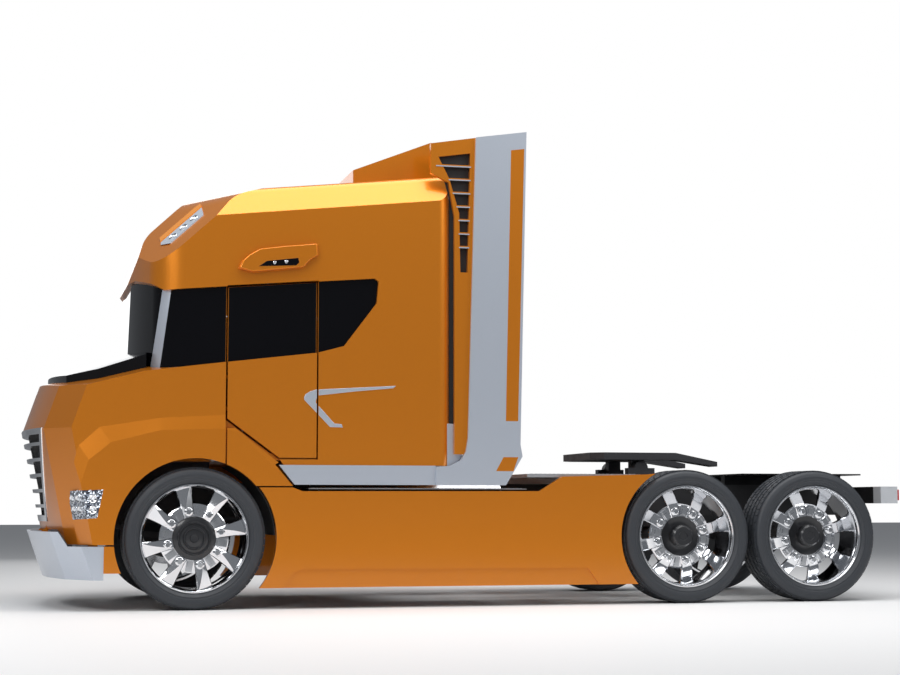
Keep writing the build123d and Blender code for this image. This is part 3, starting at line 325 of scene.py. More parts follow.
def front_spoke():
    """Sections of a folded spoke along +X: the ridge slants from one edge to the other."""
    back = -0.090
    crest = -0.138
    flank = -0.134
    sections = []
    for step in range(7):
        t = step / 6
        reach = 0.163 + 0.223 * t
        half = 0.040 + 0.022 * t ** 1.5
        ridge = half * (0.8 - 1.6 * t)
        left = flank + 0.016 * (1 - t)
        right = flank + 0.020 * t
        sections.append([
            (reach, back, -half), (reach, left + 0.006, -half), (reach, left, 0.005 - half),
            (reach, crest, ridge), (reach, right, half - 0.005), (reach, right + 0.006, half),
            (reach, back, half),
        ])
    return sections


def rear_spoke():
    """Sections of a curved spoke along +X: flat at the nut ring, then bowed back into the dish."""
    flat_share = 0.3
    sections = []
    for step in range(11):
        t = step / 10
        reach = ring_inner + 0.222 * t
        half = 0.040 + 0.012 * t
        face = -0.020 + 0.092 * max(0.0, (t - flat_share) / (1 - flat_share)) ** 1.6
        back = face + 0.034
        sections.append([
            (reach, back, -half), (reach, face + 0.005, -half), (reach, face, 0.006 - half),
            (reach, face, half - 0.006), (reach, face + 0.005, half), (reach, back, half),
        ])
    return sections


def nut_outline(face):
    """Outline of a flanged nut's round parts: a washer, and a domed cap above the flats."""
    top = face - 0.011
    return [(0, face), (0.033, face), (0.033, face - 0.006), (0.029, face - 0.009), (0.022, top), (0, top)]


def wheel_pieces(front):
    """The rim with its spokes, the black hub and the nuts of one wheel, its face towards -Y."""
    spoke = front_spoke() if front else rear_spoke()
    hub_outline = front_hub_outline if front else rear_hub_outline
    ring_face = -0.112 if front else -0.006
    ring_back = ring_face + ring_thickness
    nut_face = -0.128 if front else -0.020
    ring_outline = [
        (ring_inner, ring_face), (0.238, ring_face), (ring_outer, ring_face + 0.012),
        (ring_outer, ring_back), (ring_inner, ring_back),
    ]
    rim = Form().turn(rim_outline, wheel_steps).turn(ring_outline, wheel_steps)
    nuts = Form()
    for place in range(spoke_count):
        angle = spoke_lead + place * spoke_pitch
        rim.join(Form().loft(spoke).swung(angle))
        web = Form()
        for low, high, half, rise in web_table:
            face = ring_face - rise
            outline = ((ring_face, -half), (face, -half), (face, half), (ring_face, half))
            web.loft([[(x, y, z) for y, z in outline] for x in (low, high)])
        rim.join(web.swung(angle + spoke_pitch / 2))
        nut = Form().turn(nut_outline(nut_face), 20)
        sides = [math.pi / 3 * corner for corner in range(6)]
        flats = [(nut_radius * math.cos(a), nut_radius * math.sin(a)) for a in sides]
        nut.loft([
            [(x, nut_face - 0.010, z) for x, z in flats],
            [(x, nut_face - 0.030, z) for x, z in flats],
            [(nut_top_share * x, nut_face - 0.034, nut_top_share * z) for x, z in flats],
        ])
        nut.placed(Matrix.Translation((nut_reach, 0, 0)))
        nuts.join(nut.swung(angle))
    return rim, Form().turn(hub_outline, 72), nuts


front_axle_x = -2.305
half_track = 1.045
axle_height = 0.535


def wheel_ends():
    """Name, outward direction and middle of each of the six wheels."""
    for axle, x in (("front", front_axle_x), ("mid", 1.647), ("rear", 2.771)):
        for side, sign in (("left", -1), ("right", 1)):
            yield axle + "_" + side, sign, Matrix.Translation((x, sign * half_track, axle_height))


for ends, sign, middle in wheel_ends():
    seat = middle @ Matrix.Diagonal((1, -sign, 1, 1))
    body = "road_wheel_" + ends
    rim, hub, nuts = wheel_pieces(ends.startswith("front"))
    rim.placed(seat).make("rim_" + ends, polished_alloy, body, "wheel_polish", "wheel_" + ends, smooth=30)
    hub.placed(seat).make("hub_" + ends, hub_black, body, "cast_steel", smooth=30)
    nuts.placed(seat).make("nuts_" + ends, polished_alloy, body, "wheel_polish", smooth=30)


# Tyres: single wide road tyres of black rubber, moulded, with fine rings on the side walls
# and five ribs of tread blocks.
class Pattern(NodeBook):
    """A Geometry Nodes tree with named sizes, run once and turned into plain faces."""

    def __init__(self, name, **sizes):
        super().__init__(bpy.data.node_groups.new(name, "GeometryNodeTree"))
        self.tree.interface.new_socket("Geometry", in_out="OUTPUT", socket_type="NodeSocketGeometry")
        self.identifiers = {}
        for key, value in sizes.items():
            kind = "NodeSocketInt" if isinstance(value, int) else "NodeSocketFloat"
            socket = self.tree.interface.new_socket(key, in_out="INPUT", socket_type=kind)
            socket.default_value = value
            self.identifiers[key] = socket.identifier
        self.given = self.tree.nodes.new("NodeGroupInput")

    def size(self, key):
        return Wire(self, self.given.outputs[key])

    def vector(self, x=0.0, y=0.0, z=0.0):
        return self.node("ShaderNodeCombineXYZ", {}, {0: x, 1: y, 2: z})

    def close(self, geometry, finish):
        whole = self.node("GeometryNodeRealizeInstances", {}, {0: geometry})
        done = self.node("GeometryNodeSetMaterial", {}, {"Geometry": whole, "Material": finish.material})
        leave = self.tree.nodes.new("NodeGroupOutput")
        self.tree.links.new(done.socket, leave.inputs[0])

    def grow(self, **sizes):
        """Points and faces of the pattern at these sizes."""
        carrier = bpy.data.objects.new("carrier", bpy.data.meshes.new("carrier"))
        scene.collection.objects.link(carrier)
        modifier = carrier.modifiers.new("pattern", "NODES")
        modifier.node_group = self.tree
        for key, value in sizes.items():
            modifier[self.identifiers[key]] = value
        settled = carrier.evaluated_get(bpy.context.evaluated_depsgraph_get())
        mesh = bpy.data.meshes.new_from_object(settled)
        form = Form().add([v.co[:] for v in mesh.vertices], [p.vertices[:] for p in mesh.polygons])
        bpy.data.objects.remove(carrier)
        bpy.data.meshes.remove(mesh)
        return form


tyre_rubber = Finish("tyre_rubber", (0.030, 0.034, 0.041), 0.55)
tyre_rubber.set("Roughness", 0.42 + 0.25 * tyre_rubber.noise(20.0))
tyre_rubber.set("Normal", tyre_rubber.bump(tyre_rubber.noise(260.0), 0.0003, 0.5))
tread_count = 60
tread_pitch = 2 * math.pi / tread_count
tread_ring = Pattern(
    "tread_ring", Count=tread_count, Radius=0.528, Length=0.046, Width=0.050, Depth=0.012,
    Across=0.0, Lead=0.0)
block = tread_ring.node("GeometryNodeMeshCube", {}, {0: tread_ring.vector(
    tread_ring.size("Depth"), tread_ring.size("Width"), tread_ring.size("Length"))})
circle = tread_ring.node("GeometryNodeMeshCircle", {}, {
    "Vertices": tread_ring.size("Count"), "Radius": tread_ring.size("Radius")})
turn = tread_ring.node("GeometryNodeInputIndex", {}, {}) * tread_pitch
blocks = tread_ring.node("GeometryNodeInstanceOnPoints", {}, {
    "Points": circle, "Instance": block, "Rotation": tread_ring.vector(0.0, 0.0, turn)})
upright = tread_ring.node("GeometryNodeTransform", {}, {
    "Geometry": blocks, "Rotation": (math.pi / 2, 0, 0)})
aside = tread_ring.node("GeometryNodeTransform", {}, {
    "Geometry": upright,
    "Translation": tread_ring.vector(0.0, tread_ring.size("Across"), 0.0),
    "Rotation": tread_ring.vector(0.0, tread_ring.size("Lead"), 0.0)})
tread_ring.close(aside, tyre_rubber)
half_tyre = [
    (0.4115, 0.1575), (0.4150, 0.1680), (0.4220, 0.1760), (0.4320, 0.1830), (0.4380, 0.1880),
    (0.4430, 0.1880), (0.4470, 0.1860), (0.4600, 0.1905), (0.4630, 0.1895), (0.4730, 0.1922),
    (0.4860, 0.1915), (0.4890, 0.1900), (0.5000, 0.1880), (0.5080, 0.1840), (0.5160, 0.1780),
    (0.5220, 0.1700), (0.5232, 0.1560),
]
tyre_outline = [(0.3925, -0.155), (0.3925, 0.155)] + half_tyre + [(r, -y) for r, y in reversed(half_tyre)]
# Place across the tread, width, turn as a share of the pitch
rib_table = (
    (-0.130, 0.050, 0.5), (-0.066, 0.050, 0.0), (0.0, 0.052, 0.5), (0.066, 0.050, 0.0), (0.130, 0.050, 0.5))
for ends, sign, middle in wheel_ends():
    name = "tyre_" + ends
    tyre = Form().turn(tyre_outline, 120)
    for across, width, lead in rib_table:
        tyre.join(tread_ring.grow(Across=across, Width=width, Lead=lead * tread_pitch))
    tyre.placed(middle)
    tyre.make(name + "_moulded", tyre_rubber, "road_wheel_" + ends, "tyre_rubber", name, smooth=32)

# Body: pressed panels under a pearl orange lacquer, fine metal flakes beneath a clear coat.
orange_pearl = Finish("orange_pearl", (0.70, 0.22, 0.006), 0.28, 0.6, Coat_Weight=0.6, Coat_Roughness=0.02)
flake = orange_pearl.noise(900.0, 1.0)
orange_pearl.set("Base Color", orange_pearl.blend(flake, (0.56, 0.155, 0.003), (0.86, 0.28, 0.008)))
orange_pearl.set("Roughness", 0.26 + 0.12 * orange_pearl.noise(700.0, 1.0))
coat(orange_pearl, "cab_back_wall", "cab_floor", "cab_front", "cab_roof", "cab_sides")
coat(orange_pearl, "columns", "deflector_inlays", "roof_deflector", "skirts", "wing_tails")
coat(orange_pearl, "door_left", "door_right", "hood")

# Scuttle cover: a moulded lid in gloss black over the wiper drive, in front of the windshield.
gloss_black = Finish("gloss_black", (0.004, 0.004, 0.005), 0.15, Specular_IOR_Level=0.3)
gloss_black.set("Roughness", 0.10 + 0.08 * gloss_black.noise(12.0))
coat(gloss_black, "scuttle_cover")

# Satin silver parts: bumper, sills and side deflectors, a blue-grey metallic lacquer.
satin_silver = Finish("satin_silver", (0.60, 0.65, 0.73), 0.3, 0.6, Coat_Weight=0.3, Coat_Roughness=0.1)
satin_silver.set("Roughness", 0.24 + 0.12 * satin_silver.noise(500.0, 1.0))
coat(satin_silver, "bumper", "sills", "side_deflectors")

# Glass: dark panes bonded flush into the band round the cab; the same dark finish is painted shade on the
# camera pods' slot plates.
dark_pane = Finish("dark_pane", (0.002, 0.002, 0.003), 0.03, Specular_IOR_Level=0.22)
dark_pane.set("Roughness", 0.02 + 0.03 * dark_pane.noise(3.0))
coat(dark_pane, "cab_glass", "door_glass_left", "door_glass_right")

# Bright work: the bowed grille frame with its level bars, cast alloy, polished and plated. The
# posts beside the windshield are pressed panels, lacquered like the sills.
chrome = Finish("chrome", (0.82, 0.83, 0.85), 0.06, 1.0)
chrome.set("Roughness", 0.04 + 0.08 * chrome.noise(8.0))
coat(chrome, "grille")
coat(satin_silver, "post_trim")

# Grille screen: welded steel wires under black enamel, clipped behind the bright bars to keep
# stones off the radiator.
screen_black = Finish("screen_black", (0.012, 0.012, 0.013), 0.5)
screen_black.set("Roughness", 0.4 + 0.3 * screen_black.noise(40.0))
screen_wires = Pattern("screen_wires", Rows=46, Pitch=0.0154, Length=1.76, Gauge=0.0034)
gauge = screen_wires.size("Gauge")
wire = screen_wires.node("GeometryNodeMeshCube", {}, {
    0: screen_wires.vector(gauge, screen_wires.size("Length"), gauge), "Vertices Y": 19})
ladder = screen_wires.node("GeometryNodeMeshLine", {}, {
    "Count": screen_wires.size("Rows"), "Offset": screen_wires.vector(0.0, 0.0, screen_wires.size("Pitch"))})
wires = screen_wires.node("GeometryNodeInstanceOnPoints", {}, {"Points": ladder, "Instance": wire})
screen_wires.close(wires, screen_black)
nose_place = -3.569
nose_radius = 3.1
nose_ridge = 1.3605
nose_foot_rake = 0.211
screen_low = 0.668
screen_high = 1.362
screen_foot = 0.66
screen_rise = 0.71
screen_foot_half = 0.56
screen_flare = 0.34
level_setback = 0.047
upright_setback = 0.044


def nose_bow(across):
    """How far the nose falls back at a distance from the middle."""
    return nose_radius - math.sqrt(nose_radius ** 2 - across ** 2)


def on_nose(x, across, z, setback):
    """Carries a point of a flat screen onto the raked and bowed nose."""
    half = screen_foot_half + screen_flare * (z - screen_foot) / screen_rise
    y = across * half / (screen_foot_half + screen_flare)
    return (nose_place + nose_foot_rake * (nose_ridge - z) + nose_bow(y) + setback + x, y, z)


level = screen_wires.grow()
level.points = [on_nose(x, y, screen_low + z, level_setback) for x, y, z in level.points]
upright = screen_wires.grow(Rows=116, Length=screen_high - screen_low)
upright_half = 0.885
screen_middle = 0.5 * (screen_low + screen_high)
shaped = [on_nose(x, z - upright_half, screen_middle + y, upright_setback) for x, y, z in upright.points]
upright.points = shaped
level.join(upright)
level.make("grille_screen", screen_black, "hood", "chassis_black", smooth=40)

# Headlamps: clear covers over facetted reflectors, set with small projector lamps, each a
# plated ring round a glass dome, four on the corner facet and two on the side of each wing.
crystal = Finish("crystal", (0.62, 0.67, 0.74), 0.08, 0.85, Coat_Weight=1.0, Coat_Roughness=0.02)
facet_depth_and_shade = crystal.node("ShaderNodeTexVoronoi", {"distance": "CHEBYCHEV"}, {
    "Vector": crystal.place(), "Scale": 55.0}, "Distance")
# The reflectors' colour is light grey in the middle of each facet cell and near black at its rim: painted
# highlights and painted shade of the facets.
crystal.set("Base Color", crystal.blend(facet_depth_and_shade > 0.42, (0.66, 0.71, 0.78), (0.12, 0.14, 0.18)))
crystal.set("Normal", crystal.bump(facet_depth_and_shade, 0.02, 0.9))
coat(crystal, "headlamps")
lamp_glass = Finish("lamp_glass", (0.86, 0.90, 0.95), 0.04, 0.35, Coat_Weight=1.0)
lamp_glass.set("Roughness", 0.03 + 0.05 * lamp_glass.noise(60.0))


def lamp_ring(radius):
    """A plated ring with a shallow bowl, its mouth towards -Y."""
    return Form().turn([
        (radius, 0.002), (radius, -0.0035), (radius - 0.003, -0.0045), (radius - 0.006, -0.002),
        (0.42 * radius, 0.0012), (0.42 * radius, 0.002)], 32)


def lamp_dome(radius):
    """The shallow glass bulb inside a ring."""
    return Form().turn([
        (0, 0.001), (0.40 * radius, 0.001), (0.37 * radius, -0.003), (0.22 * radius, -0.0062),
        (0, -0.0072)], 24)


def facing(place, normal):
    """A move that carries a lamp's mouth onto a surface with this outward direction."""
    turn = Vector((0, -1, 0)).rotation_difference(Vector(normal).normalized()).to_matrix().to_4x4()
    return Matrix.Translation(place) @ turn


def lamp_rows(name, body, places, radius):
    """Rings and domes at (place, outward direction) on the left side, with their twins."""
    rings = Form()
    domes = Form()
    for place, normal in places:
        rings.join(lamp_ring(radius).placed(facing(place, normal)))
        domes.join(lamp_dome(radius).placed(facing(place, normal)))
    rings.with_mirror().make(name + "_rings", chrome, body, "bright_trim")
    domes.with_mirror().make(name + "_domes", lamp_glass, body, "lamp_clear")


# The corner facet starts at facet_start from the middle and runs back and out; the wing stands
# proud of it by facet_flare. Lamps are placed by height and by reach along the facet.
facet_back = 0.561
facet_out = 0.828
facet_start = 0.723
facet_flare = 0.025
lamp_heights = (0.75, 0.83)
corner_lamps = []
for reach in (0.553, 0.484):
    for height in lamp_heights:
        front = nose_place + nose_foot_rake * (nose_ridge - height)
        x = front + facet_back * reach - facet_flare * facet_out - 0.001
        y = facet_start + facet_out * reach + facet_flare * facet_back
        corner_lamps.append(((x, -y, height), (-facet_out, -facet_back, -0.17)))
side_lamps = [((-3.062, -1.2505, height), (0, -1, 0)) for height in lamp_heights]
lamp_rows("headlamp", "hood", corner_lamps + side_lamps, 0.030)

# Roof lamps: clear blocks on the brow's corner facets, each over a row of three reflectors,
# with an amber marker on their inner side.
roof_lens = Finish("roof_lens", (0.55, 0.60, 0.66), 0.06, 0.2, Coat_Weight=1.0)
inner_side = abs(roof_lens.along("Y")) < 0.89
clear_grey = (0.50, 0.55, 0.62)
amber = (0.90, 0.30, 0.01)
roof_lens.set("Base Color", roof_lens.blend(inner_side, clear_grey, amber))
roof_lens.set("Roughness", 0.05 + 0.08 * roof_lens.noise(30.0))
coat(roof_lens, "roof_lamps")
brow_normal = Vector((-0.927, -0.535, 1)).normalized()
brow_x = front_axle_x - 0.19
brow_y = 0.90
brow_foot = 2.87
brow_climb = 1.07
lamp_y = 0.97
lens_top = 0.0095
roof_row = []
for x in (-2.475, -2.395, -2.315):
    run = (x - brow_x) * 0.866 + (brow_y - lamp_y) * 0.5
    foot = Vector((x, -lamp_y, brow_foot + brow_climb * run))
    roof_row.append((foot + lens_top * brow_normal, brow_normal))
lamp_rows("roof_lamp", "chassis", roof_row, 0.034)

# Belt trim: a silver band bent round the door's release, pressed from sheet and bonded to the
# panels. It parts at the door's rear edge, so its front corner swings with the door.
trim_inner = 1.2235
trim_outer = 1.2290
trim_edge = 0.0018
door_corner = [
    (-1.387, 1.670), (-1.397, 1.669), (-1.440, 1.654), (-1.474, 1.634), (-1.486, 1.611), (-1.485, 1.590),
    (-1.387, 1.489), (-1.387, 1.559), (-1.396, 1.569), (-1.393, 1.592), (-1.387, 1.604),
]
upper_band = [
    (-1.373, 1.6705), (-1.080, 1.689), (-0.764, 1.708), (-0.786, 1.690), (-1.080, 1.661), (-1.373, 1.625),
]
lower_band = [
    (-1.373, 1.475), (-1.283, 1.383), (-1.182, 1.380), (-1.193, 1.406), (-1.249, 1.410), (-1.373, 1.545),
]


def side_plate(outline, inner, outer):
    """A panel on the truck's left side, its outline given along and up."""
    return Form().loft([[(x, -y, z) for x, z in outline] for y in (inner, outer)])


for side, sign in (("left", 1), ("right", -1)):
    corner_band = side_plate(door_corner, sign * trim_inner, sign * trim_outer)
    corner_band.make("belt_corner_" + side, satin_silver, "door_" + side, "bright_trim", bevel=trim_edge)
bands = side_plate(upper_band, trim_inner, trim_outer)
bands.join(side_plate(lower_band, trim_inner, trim_outer))
bands.with_mirror().make("belt_bands", satin_silver, "chassis", "bright_trim", bevel=trim_edge)

# Camera pods: short moulded wings over the side windows, painted like the body. A flat dark
# plate near the lower edge is painted shade for the open slot; the two lenses in it look back along the
# truck.
pod_outline = [
    (-2.004, 2.588), (-1.978, 2.644), (-1.930, 2.690), (-1.847, 2.742), (-1.640, 2.772), (-1.395, 2.799),
    (-1.386, 2.709), (-1.446, 2.674), (-1.501, 2.612), (-1.900, 2.563),
]
pod_x = -1.70
pod_z = 2.67
pod_rows = []
# Distance from the truck's middle, share of the outline's size
for across, keep in ((1.205, 1.0), (1.250, 1.0), (1.265, 0.985), (1.272, 0.955)):
    row = [(pod_x + (x - pod_x) * keep, -across, pod_z + (z - pod_z) * keep) for x, z in pod_outline]
    pod_rows.append(row)
pods = Form().loft(pod_rows).with_mirror()
pods.make("camera_pod_shells", orange_pearl, "chassis", "body_paint", "camera_pods", bevel=0.004, smooth=25)
slot_outline = [(-1.850, 2.606), (-1.790, 2.648), (-1.547, 2.680), (-1.540, 2.645), (-1.562, 2.622)]
# The slot is not cut into the shell: a dark plate lies on it as painted shade.
slot_shade_plates = side_plate(slot_outline, 1.268, 1.2745).with_mirror()
slot_shade_plates.make("camera_slot_shades", dark_pane, "chassis", "dark_glass", bevel=0.0015)
lens_row = [((x, -1.2726, z), (0, -1, 0)) for x, z in ((-1.730, 2.638), (-1.640, 2.648))]
lamp_rows("camera", "chassis", lens_row, 0.013)

# Louvre columns: black plates close the openings from behind, and each slat carries a pressed
# silver edge.
backing_outline = [
    (-0.462, 3.49), (-0.458, 3.60), (-0.136, 3.62), (-0.165, 2.575), (-0.280, 2.575), (-0.292, 3.08),
    (-0.368, 3.34),
]
backing = side_plate(backing_outline, 1.190, 1.1985).with_mirror()
backing.make("louvre_backing", screen_black, "chassis", "chassis_black")
strip_length = 0.30
slat_edges = Pattern("slat_edges", Count=7, Pitch=0.108, Length=strip_length, Height=0.009, Depth=0.006)
strip = slat_edges.node("GeometryNodeMeshCube", {}, {
    0: slat_edges.vector(slat_edges.size("Length"), slat_edges.size("Depth"), slat_edges.size("Height"))})
stack = slat_edges.node("GeometryNodeMeshLine", {}, {
    "Count": slat_edges.size("Count"), "Offset": slat_edges.vector(0.0, 0.0, slat_edges.size("Pitch"))})
edges = slat_edges.node("GeometryNodeInstanceOnPoints", {}, {"Points": stack, "Instance": strip})
slat_edges.close(edges, satin_silver)
louvre_left = [(2.612, -0.2485), (3.087, -0.258), (3.355, -0.337), (3.455, -0.440), (3.60, -0.440)]
louvre_right = [(2.612, -0.192), (3.573, -0.167)]


def edge_at(line, height):
    """Place along the truck of a bent line at a height."""
    for (low, start), (high, end) in zip(line, line[1:]):
        if height <= high:
            return start + (end - start) * (height - low) / (high - low)
    return line[-1][1]


lowest_slat = 2.812
strip_lap = 0.008
strip_y = -1.2395
strips = slat_edges.grow()
shaped = []
for x, y, z in strips.points:
    height = lowest_slat + z
    left = edge_at(louvre_left, height) - strip_lap
    right = edge_at(louvre_right, height) + strip_lap
    shaped.append((left + (x / strip_length + 0.5) * (right - left), y + strip_y, height))
strips.points = shaped
strips.with_mirror().make("louvre_edges", satin_silver, "chassis", "bright_trim")

# Gap seals: upright lips of black rubber that close the slot between cab and columns.
seal_rubber = Finish("seal_rubber", (0.015, 0.015, 0.016), 0.7)
seal_rubber.set("Roughness", 0.6 + 0.2 * seal_rubber.noise(30.0))
seal_outline = [(-0.352, 1.20), (-0.338, 3.21), (-0.282, 3.21), (-0.262, 1.20)]
seals = side_plate(seal_outline, 1.150, 1.172).with_mirror()
seals.make("gap_seals", seal_rubber, "chassis", "chassis_black", bevel=0.004)

# Corner panels: silver fillets behind the cab's lower rear corners, where the sill turns up
# into the deflector.
corner_outline = [
    (-0.440, 1.086), (-0.380, 1.130), (-0.356, 1.200), (-0.354, 1.420), (-0.262, 1.420), (-0.255, 1.290),
    (-0.225, 1.180), (-0.170, 1.120), (-0.120, 1.086),
]
corner_panels = side_plate(corner_outline, 1.176, 1.196).with_mirror()
corner_panels.make("corner_panels", satin_silver, "chassis", "satin_silver", bevel=0.003)

# Arch liners: black moulded shells over the rear quarter of each front wheel, behind the hood.
liner_outline = ((0.606, 0.62), (0.606, 1.19), (0.611, 1.19), (0.611, 0.62))
liner_start = 2
liner_span = 62
liner_steps = 12
liner_rows = []
for step in range(liner_steps + 1):
    angle = math.radians(liner_start + liner_span * step / liner_steps)
    row = []
    for radius, across in liner_outline:
        row.append((front_axle_x + radius * math.cos(angle), -across, axle_height + radius * math.sin(angle)))
    liner_rows.append(row)
liners = Form().loft(liner_rows).with_mirror()
liners.make("arch_liners", seal_rubber, "chassis", "chassis_black", smooth=40)

# Walkways: alloy tread plate behind the cab with pressed buttons for grip, black deck plates
# over the rear axles.
deck_plate = Finish("deck_plate", (0.62, 0.63, 0.65), 0.3, 1.0)
over_axles = deck_plate.along("X") > 1.8
bare_alloy = (0.64, 0.65, 0.67)
deck_black = (0.03, 0.03, 0.032)
deck_plate.set("Base Color", deck_plate.blend(over_axles, bare_alloy, deck_black))
deck_plate.set("Roughness", 0.25 + 0.2 * deck_plate.noise(20.0))
deck_plate.set("Normal", deck_plate.bump(deck_plate.noise(120.0), 0.0006, 0.4))
coat(deck_plate, "walkways")
buttons = Pattern("grip_buttons", Along=24, Across=15, Run=0.86, Width=0.62, Radius=0.011, Height=0.004)
button = buttons.node("GeometryNodeMeshCylinder", {}, {
    "Vertices": 12, "Radius": buttons.size("Radius"), "Depth": buttons.size("Height")})
field = buttons.node("GeometryNodeMeshGrid", {}, {
    "Size X": buttons.size("Run"), "Size Y": buttons.size("Width"),
    "Vertices X": buttons.size("Along"), "Vertices Y": buttons.size("Across")})
spread = buttons.node("GeometryNodeInstanceOnPoints", {}, {"Points": field, "Instance": button})
buttons.close(spread, deck_plate)
grips = buttons.grow().placed(Matrix.Translation((0.780, -0.870, 1.0315))).with_mirror()
grips.make("grip_buttons", tank_alloy, "chassis", "deck_plate", smooth=40)

# Step plates: alloy treads on brackets between sill and skirt, with the same grip buttons.
step_outline = [(-1.44, 0.908), (0.30, 0.908), (0.30, 0.914), (-1.44, 0.914)]
steps = side_plate(step_outline, 1.204, 0.90)
treads = buttons.grow(Along=56, Across=7, Run=1.66, Width=0.25)
steps.join(treads.placed(Matrix.Translation((-0.57, -1.05, 0.9155))))
steps.with_mirror().make("step_plates", tank_alloy, "chassis", "deck_plate", smooth=40)

# Tail bar: a black box beam whose ends are capped in brushed alloy, with red lamps behind.
tail_metal = Finish("tail_metal", (0.02, 0.02, 0.022), 0.35, 0.6)
at_ends = abs(tail_metal.along("Y")) > 1.02
beam_black = (0.02, 0.02, 0.022)
cap_alloy = (0.72, 0.74, 0.77)
tail_metal.set("Base Color", tail_metal.blend(at_ends, beam_black, cap_alloy))
tail_metal.set("Roughness", 0.25 + 0.2 * tail_metal.noise(25.0))
coat(tail_metal, "tail_bar")
red_lens = Finish("red_lens", (0.45, 0.01, 0.01), 0.12, 0.0, Coat_Weight=1.0)
red_lens.set("Roughness", 0.08 + 0.1 * red_lens.noise(30.0))
ribs = red_lens.node("ShaderNodeTexWave", {"bands_direction": "Y"}, {
    "Vector": red_lens.place(), "Scale": 32.0}, "Fac")
red_lens.set("Normal", red_lens.bump(ribs, 0.002, 0.6))
coat(red_lens, "tail_lamps")

# Frame bolts: flanged heads in pairs along the outer faces of both rails, where the springs'
# hangers and the cross members are bolted on.
rail_bolts = Pattern("rail_bolts", Along=30, Rows=2, Run=5.2, Gap=0.12, Radius=0.012, Height=0.014)
head = rail_bolts.node("GeometryNodeMeshCylinder", {}, {
    "Vertices": 6, "Radius": rail_bolts.size("Radius"), "Depth": rail_bolts.size("Height")})
grid = rail_bolts.node("GeometryNodeMeshGrid", {}, {
    "Size X": rail_bolts.size("Run"), "Size Y": rail_bolts.size("Gap"),
    "Vertices X": rail_bolts.size("Along"), "Vertices Y": rail_bolts.size("Rows")})
heads = rail_bolts.node("GeometryNodeInstanceOnPoints", {}, {"Points": grid, "Instance": head})
rail_bolts.close(heads, cast_steel)
on_rail = Matrix.Translation((0.72, -0.357, 0.83)) @ Matrix.Rotation(math.pi / 2, 4, "X")
bolts = rail_bolts.grow().placed(on_rail).with_mirror()
bolts.make("rail_bolts", cast_steel, "chassis", "cast_steel")

# Cab inside: a moulded dashboard with a fine grain.
inner_plastic = Finish("inner_plastic", (0.05, 0.05, 0.055), 0.6)
inner_plastic.set("Normal", inner_plastic.bump(inner_plastic.noise(240.0), 0.0006, 0.5))
coat(inner_plastic, "dashboard")

# Seats and bunk: foam cushions under woven cloth with sewn channels, blown up a little by a
# cloth simulation, on moulded pedestals and a plinth.
seat_cloth = Finish("seat_cloth", (0.06, 0.062, 0.07), 0.85, 0.0, Sheen_Weight=0.4)
weave = seat_cloth.node("ShaderNodeTexWave", {"bands_direction": "DIAGONAL"}, {
    "Vector": seat_cloth.place(), "Scale": 220.0}, "Fac")
channel = seat_cloth.node("ShaderNodeTexWave", {"bands_direction": "Y", "wave_profile": "SAW"}, {
    "Vector": seat_cloth.place(), "Scale": 3.2}, "Fac")
seat_cloth.set("Base Color", seat_cloth.blend(weave, (0.045, 0.047, 0.055), (0.10, 0.105, 0.12)))
seat_cloth.set("Normal", seat_cloth.bump(weave * 0.1 + channel * 0.9, 0.006, 0.7))
seats_low, seats_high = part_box("seats")
floor_top = seats_low[2]
bunk_rear = seats_high[0]
bunk_half = seats_high[1]
swell_room = 0.016
settle_frames = 20


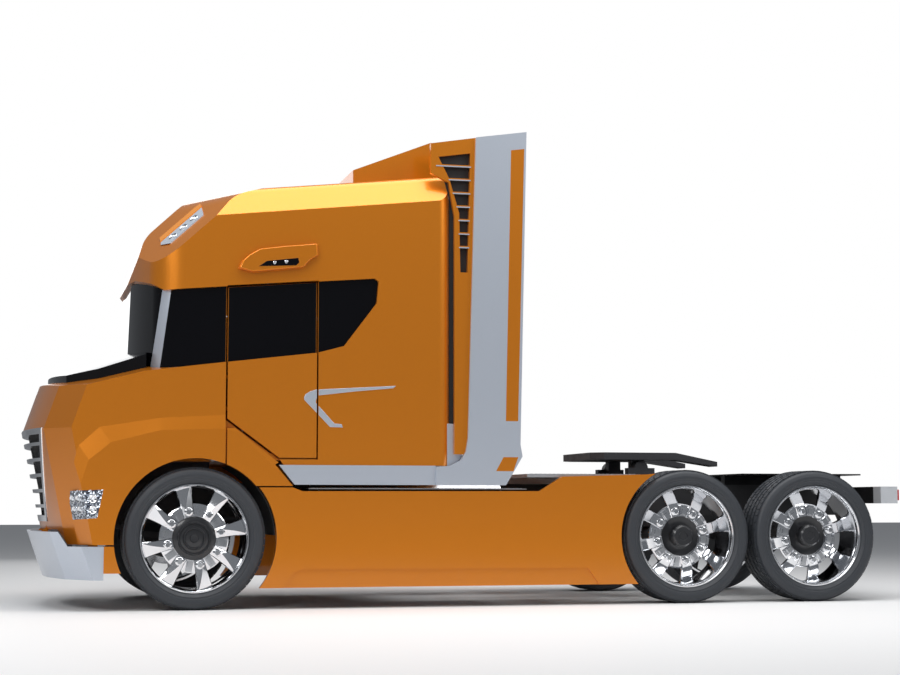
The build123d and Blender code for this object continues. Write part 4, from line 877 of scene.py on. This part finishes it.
def cushion(name, low, high):
    """A closed pad in the space between two corners, swollen by cloth simulation."""
    low = Vector(low)
    high = Vector(high)
    middle = (low + high) / 2
    half = (high - low) / 2
    pad = bmesh.new()
    bmesh.ops.create_cube(pad, size=2.0)
    bmesh.ops.subdivide_edges(pad, edges=pad.edges, cuts=11, use_grid_fill=True)
    for corner in pad.verts:
        share = Vector(corner.co)
        edge = sorted(abs(value) for value in share)
        pinch = 1 - 0.2 * max(0.0, edge[1] - 0.75)
        corner.co = Vector([middle[k] + share[k] * (half[k] - swell_room) * pinch for k in range(3)])
    mesh = bpy.data.meshes.new(name)
    pad.to_mesh(mesh)
    pad.free()
    made = bpy.data.objects.new(name, mesh)
    scene.collection.objects.link(made)
    cloth = made.modifiers.new("cloth", "CLOTH")
    cloth.settings.quality = 5
    cloth.settings.mass = 0.3
    cloth.settings.use_pressure = True
    cloth.settings.uniform_pressure_force = 4
    cloth.settings.effector_weights.gravity = 0
    for moment in range(1, settle_frames + 1):
        scene.frame_set(moment)
    settled = made.evaluated_get(bpy.context.evaluated_depsgraph_get())
    swollen = [point.co.copy() for point in settled.data.vertices]
    made.modifiers.remove(cloth)
    furthest = swell_room - 0.003
    for point, moved in zip(mesh.vertices, swollen):
        shift = moved - point.co
        if shift.length > furthest:
            shift = shift.normalized() * furthest
        point.co = point.co + shift
    scene.frame_set(1)
    smooth = made.modifiers.new("smooth", "SUBSURF")
    smooth.levels = 1
    smooth.render_levels = 1
    mesh.shade_smooth()
    mesh.materials.append(seat_cloth.material)
    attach(made, "chassis")


frames = Form()
seat_front = -1.745
seat_rear = -1.245
pan_top = floor_top + 0.42
pan_foot = pan_top - 0.13
foot_inset = 0.09
foot_outline = [
    (seat_front + foot_inset, floor_top), (seat_rear - foot_inset, floor_top),
    (seat_rear - 0.10, pan_foot), (seat_front + 0.05, pan_foot),
]
for label, y0, y1 in (("left", -0.88, -0.36), ("right", 0.36, 0.88)):
    cushion("seat_base_" + label, (seat_front, y0, pan_foot), (seat_rear, y1, pan_top))
    back_low = (seat_rear - 0.13, y0, pan_top + 0.005)
    cushion("seat_back_" + label, back_low, (seat_rear, y1, pan_top + 0.52))
    rest_low = (seat_rear - 0.12, y0 + 0.12, pan_top + 0.53)
    cushion("head_rest_" + label, rest_low, (seat_rear - 0.01, y1 - 0.12, pan_top + 0.70))
    frames.loft([[(x, y, z) for x, z in foot_outline] for y in (y0 + foot_inset, y1 - foot_inset)])
plinth_front = bunk_rear - 0.62
plinth_top = floor_top + 0.36
plinth = [
    (plinth_front, floor_top), (bunk_rear, floor_top), (bunk_rear, plinth_top), (plinth_front, plinth_top),
]
frames.loft([[(x, y, z) for x, z in plinth] for y in (-bunk_half, bunk_half)])
frames.make("seat_frames", inner_plastic, "chassis", "inner_lining", "seats", bevel=0.012)
mattress_low = (bunk_rear - 0.64, -bunk_half, plinth_top)
cushion("bunk_mattress", mattress_low, (bunk_rear, bunk_half, plinth_top + 0.16))
